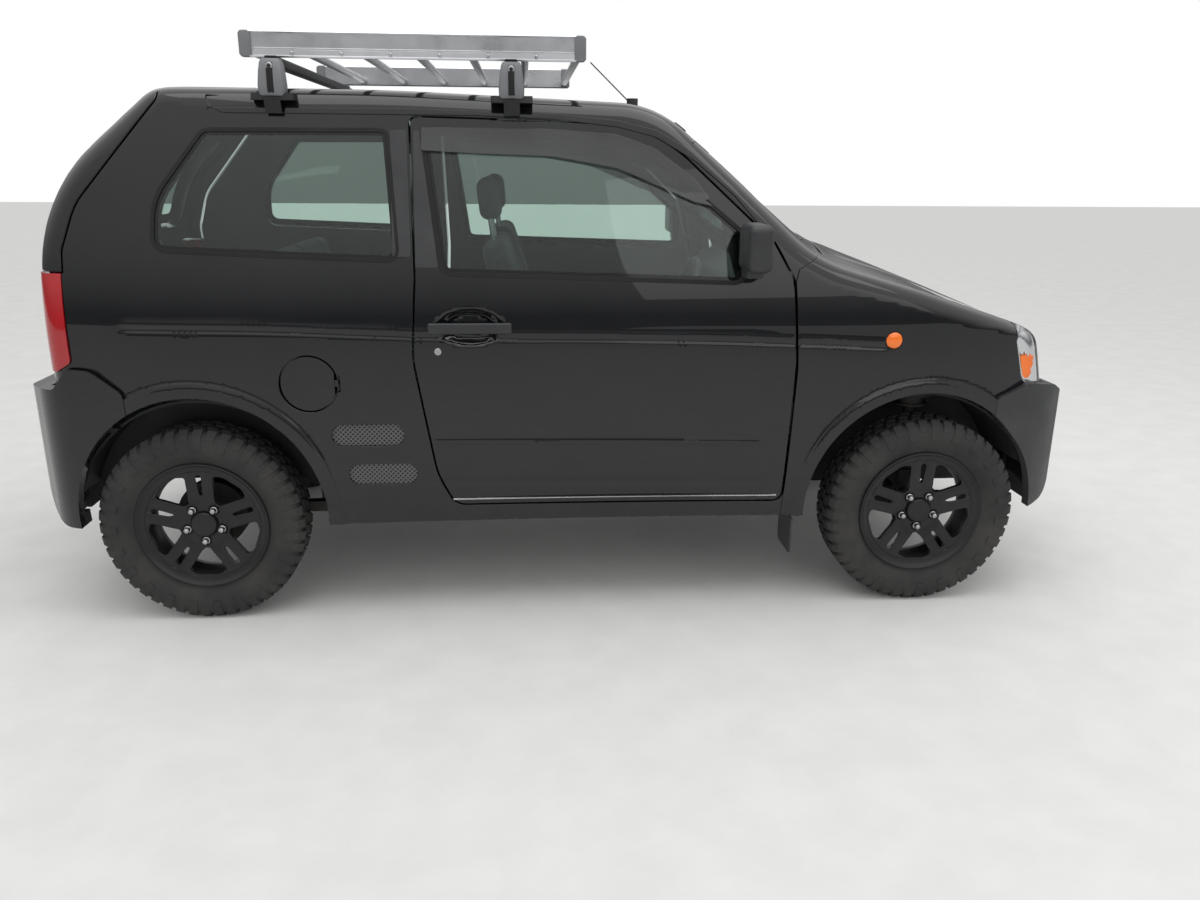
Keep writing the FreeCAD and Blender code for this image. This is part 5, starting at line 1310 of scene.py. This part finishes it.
for tag, side in SIDES:
    y0 = side*RAIL_Y
    rail = [[(x, y0+side*(o+4), z) for z, o in RAIL_WEB] for x in (RACK_REAR+30, RACK_FRONT-30)]
    loft("rack_rail_"+tag, rail, ALLOY, "rack_alloy", "rack_frame", 30)
    for end, x0, x1, outer_x in (("rear", RACK_REAR, RACK_REAR+CAP_LONG, RACK_REAR),
                                 ("front", RACK_FRONT-CAP_LONG, RACK_FRONT, RACK_FRONT)):
        loft(f"rack_cap_{end}_{tag}", rail_cap(x0, x1, outer_x, y0, side), GREY, node="rack_frame")
    for k, x in enumerate(np.linspace(RACK_REAR+150, RACK_FRONT-150, 6)):
        rivet = [[(x+a, y0+side*(7.5+o), RAIL_LOW+13+b) for a, b in round_ring(r, 14)] for o, r in RIVET]
        loft(f"rack_rivet_{k}_{tag}", rivet, NUT, "rack_alloy", "rack_frame", 60)
for k in range(RUNGS):
    x = RACK_REAR+22+(RACK_FRONT-RACK_REAR-44)*k/(RUNGS-1)
    rung = [[(x+a, y, RUNG_Z+b) for a, b in round_ring(RUNG_R, 28)]
            for y in (-RAIL_Y+4, -RAIL_Y+16, 0, RAIL_Y-16, RAIL_Y-4)]
    loft(f"rack_rung_{k}", rung, ALLOY, "rack_alloy", "rack_frame", 60)
for end, x in (("front", -172), ("rear", -866)):
    for tag, side in SIDES:
        # tower cover, slightly proud of the foot, with a dark strip and a round lock
        tower = [[(x+a, side*((y_in+y_out)/2+b), z) for a, b in rect(half_x, (y_out-y_in)/2, 9)]
                 for z, half_x, y_in, y_out in TOWER]
        strip = [[(x+a, side*(638.5+lean+b), z) for a, b in rect(9, 6, 3)]
                 for z, lean in ((1630, 0), (1650, 2.6), (1690, 0), (1712, -3))]
        lock = [[(x+a, side*(636+o), LOCK_Z+b) for a, b in round_ring(r, 24)] for o, r in LOCK]
        pad = [[(x+a, side*(y+b), z-2) for a, b in rect(62, hy, 8)]
               for z, y, hy in ((1632, 596, 34), (1622, 600, 36), (1612, 606, 34))]
        clamp = [[(x+a, side*(y+b), z) for a, b in rect(24, 3, 2)]
                 for z, y in ((1618, 638), (1600, 634), (1586, 628), (1574, 624))]
        loft(f"rack_tower_{end}_{tag}", tower, GREY)
        loft(f"rack_strip_{end}_{tag}", strip, RUBBER)
        loft(f"rack_lock_{end}_{tag}", lock, NUT, "steel")
        loft(f"rack_pad_{end}_{tag}", pad, RUBBER)
        loft(f"rack_clamp_{end}_{tag}", clamp, INNER)
    bar = [[(x+a, y, BAR_Z+b) for a, b in rect(18, 13, 4)] for y in (-604, -300, 0, 300, 604)]
    loft(f"rack_bar_{end}", bar, DARK)
    for tag, side in SIDES:
        cap = [[(x+a*k, side*y, BAR_Z+b*k) for a, b in rect(19.5, 14.5, 5)] for y, k in BAR_CAP]
        loft(f"rack_bar_cap_{end}_{tag}", cap, RUBBER)

# Solids that keep showing, with their materials

CARRIED = (
    (DARK, "bumper_front front_grille mud_flaps antenna cowl"),
    (DARK, "mirror_right mirror_left door_handle_right door_handle_left"),
    (PAINT, "bumper_rear arch_lips fuel_lid"), (NET, "side_vents"), (RED, "tail_lamps"),
    (INNER, "floor_pan front_frame door_hinges lid_hinges"), (TRIM, "dashboard steering_wheel"),
    (STEEL, "engine fuel_tank exhaust rear_axle front_suspension knuckle_right knuckle_left"),
)
for look, names in CARRIED:
    for name in names.split():
        node = NODES[name]
        node = bpy.data.objects[node] if isinstance(node, str) else node
        slots = node.data.materials
        if not len(slots):
            slots.append(look)
        for i in range(len(slots)):
            slots[i] = look

# Floor, light and camera

FLOOR_HALF = 30
corners = [(FLOOR_HALF*a, FLOOR_HALF*b, 0) for a, b in ((-1, -1), (1, -1), (1, 1), (-1, 1))]
floor_mesh = bpy.data.meshes.new("floor")
floor_mesh.from_pydata(corners, [], [(0, 1, 2, 3)])
floor = bpy.data.objects.new("floor", floor_mesh)
bpy.context.scene.collection.objects.link(floor)
floor_mesh.materials.append(material("floor_pale", (0.74, 0.74, 0.73), (0.78, 0.78, 0.77), (0.85, 0.95),
                                     grain=0.15, grain_scale=180))


def build_world():
    """White where it is seen, dimmer as a light; reflections see a bright ceiling and darker walls."""
    world = bpy.data.worlds.new("studio")
    bpy.context.scene.world = world
    world.use_nodes = True
    t = world.node_tree
    back = t.nodes["Background"]
    back.inputs["Color"].default_value = (1, 1, 1, 1)
    rays = t.nodes.new("ShaderNodeLightPath")
    seen = maths(t, "MAXIMUM", rays.outputs["Is Camera Ray"], rays.outputs["Is Transmission Ray"])
    way = t.nodes.new("ShaderNodeSeparateXYZ")
    t.links.new(t.nodes.new("ShaderNodeTexCoord").outputs["Generated"], way.inputs[0])
    pick = t.nodes.new("ShaderNodeMix")
    pick.data_type = "FLOAT"
    t.links.new(rays.outputs["Is Glossy Ray"], pick.inputs["Factor"])
    t.links.new(map_range(t, seen, 0.0, 1.0, 0.82, 1.0), pick.inputs[2])
    t.links.new(map_range(t, way.outputs["Z"], 0.05, 0.55, 0.16, 1.15), pick.inputs[3])
    t.links.new(pick.outputs[0], back.inputs["Strength"])


build_world()


def area_light(name, spot, aim, size, watts):
    data = bpy.data.lights.new(name, "AREA")
    data.shape = "RECTANGLE"
    data.size, data.size_y = size
    data.energy = watts
    obj = bpy.data.objects.new(name, data)
    obj.location = spot
    obj.rotation_euler = (Vector(aim)-Vector(spot)).to_track_quat("-Z", "Y").to_euler()
    bpy.context.scene.collection.objects.link(obj)


area_light("soft_top", (0.4, -1.2, 5.2), (0, 0, 0.8), (6.0, 4.0), 110)
area_light("soft_side", (2.5, -5.5, 3.0), (0, 0, 0.7), (4.0, 2.0), 18)

YAW, PITCH, ROLL, LENS, CAMERA_AT = 0.0782, 0.2938, 0.0080, 28.72, (-0.1384, -3.6576, 1.4491)
ahead = Vector((math.sin(YAW)*math.cos(PITCH), math.cos(YAW)*math.cos(PITCH), -math.sin(PITCH)))
across = Vector((math.cos(YAW), -math.sin(YAW), 0))
rise = across.cross(ahead)
cam_x = across*math.cos(ROLL)+rise*math.sin(ROLL)
cam_y = -across*math.sin(ROLL)+rise*math.cos(ROLL)
camera_data = bpy.data.cameras.new("camera")
camera_data.lens, camera_data.sensor_width = LENS, 36
camera = bpy.data.objects.new("camera", camera_data)
rows = [(cam_x[i], cam_y[i], -ahead[i], CAMERA_AT[i]) for i in range(3)]
camera.matrix_world = Matrix((*rows, (0, 0, 0, 1)))
bpy.context.scene.collection.objects.link(camera)
bpy.context.scene.camera = camera
bpy.context.scene.view_settings.view_transform = "Standard"
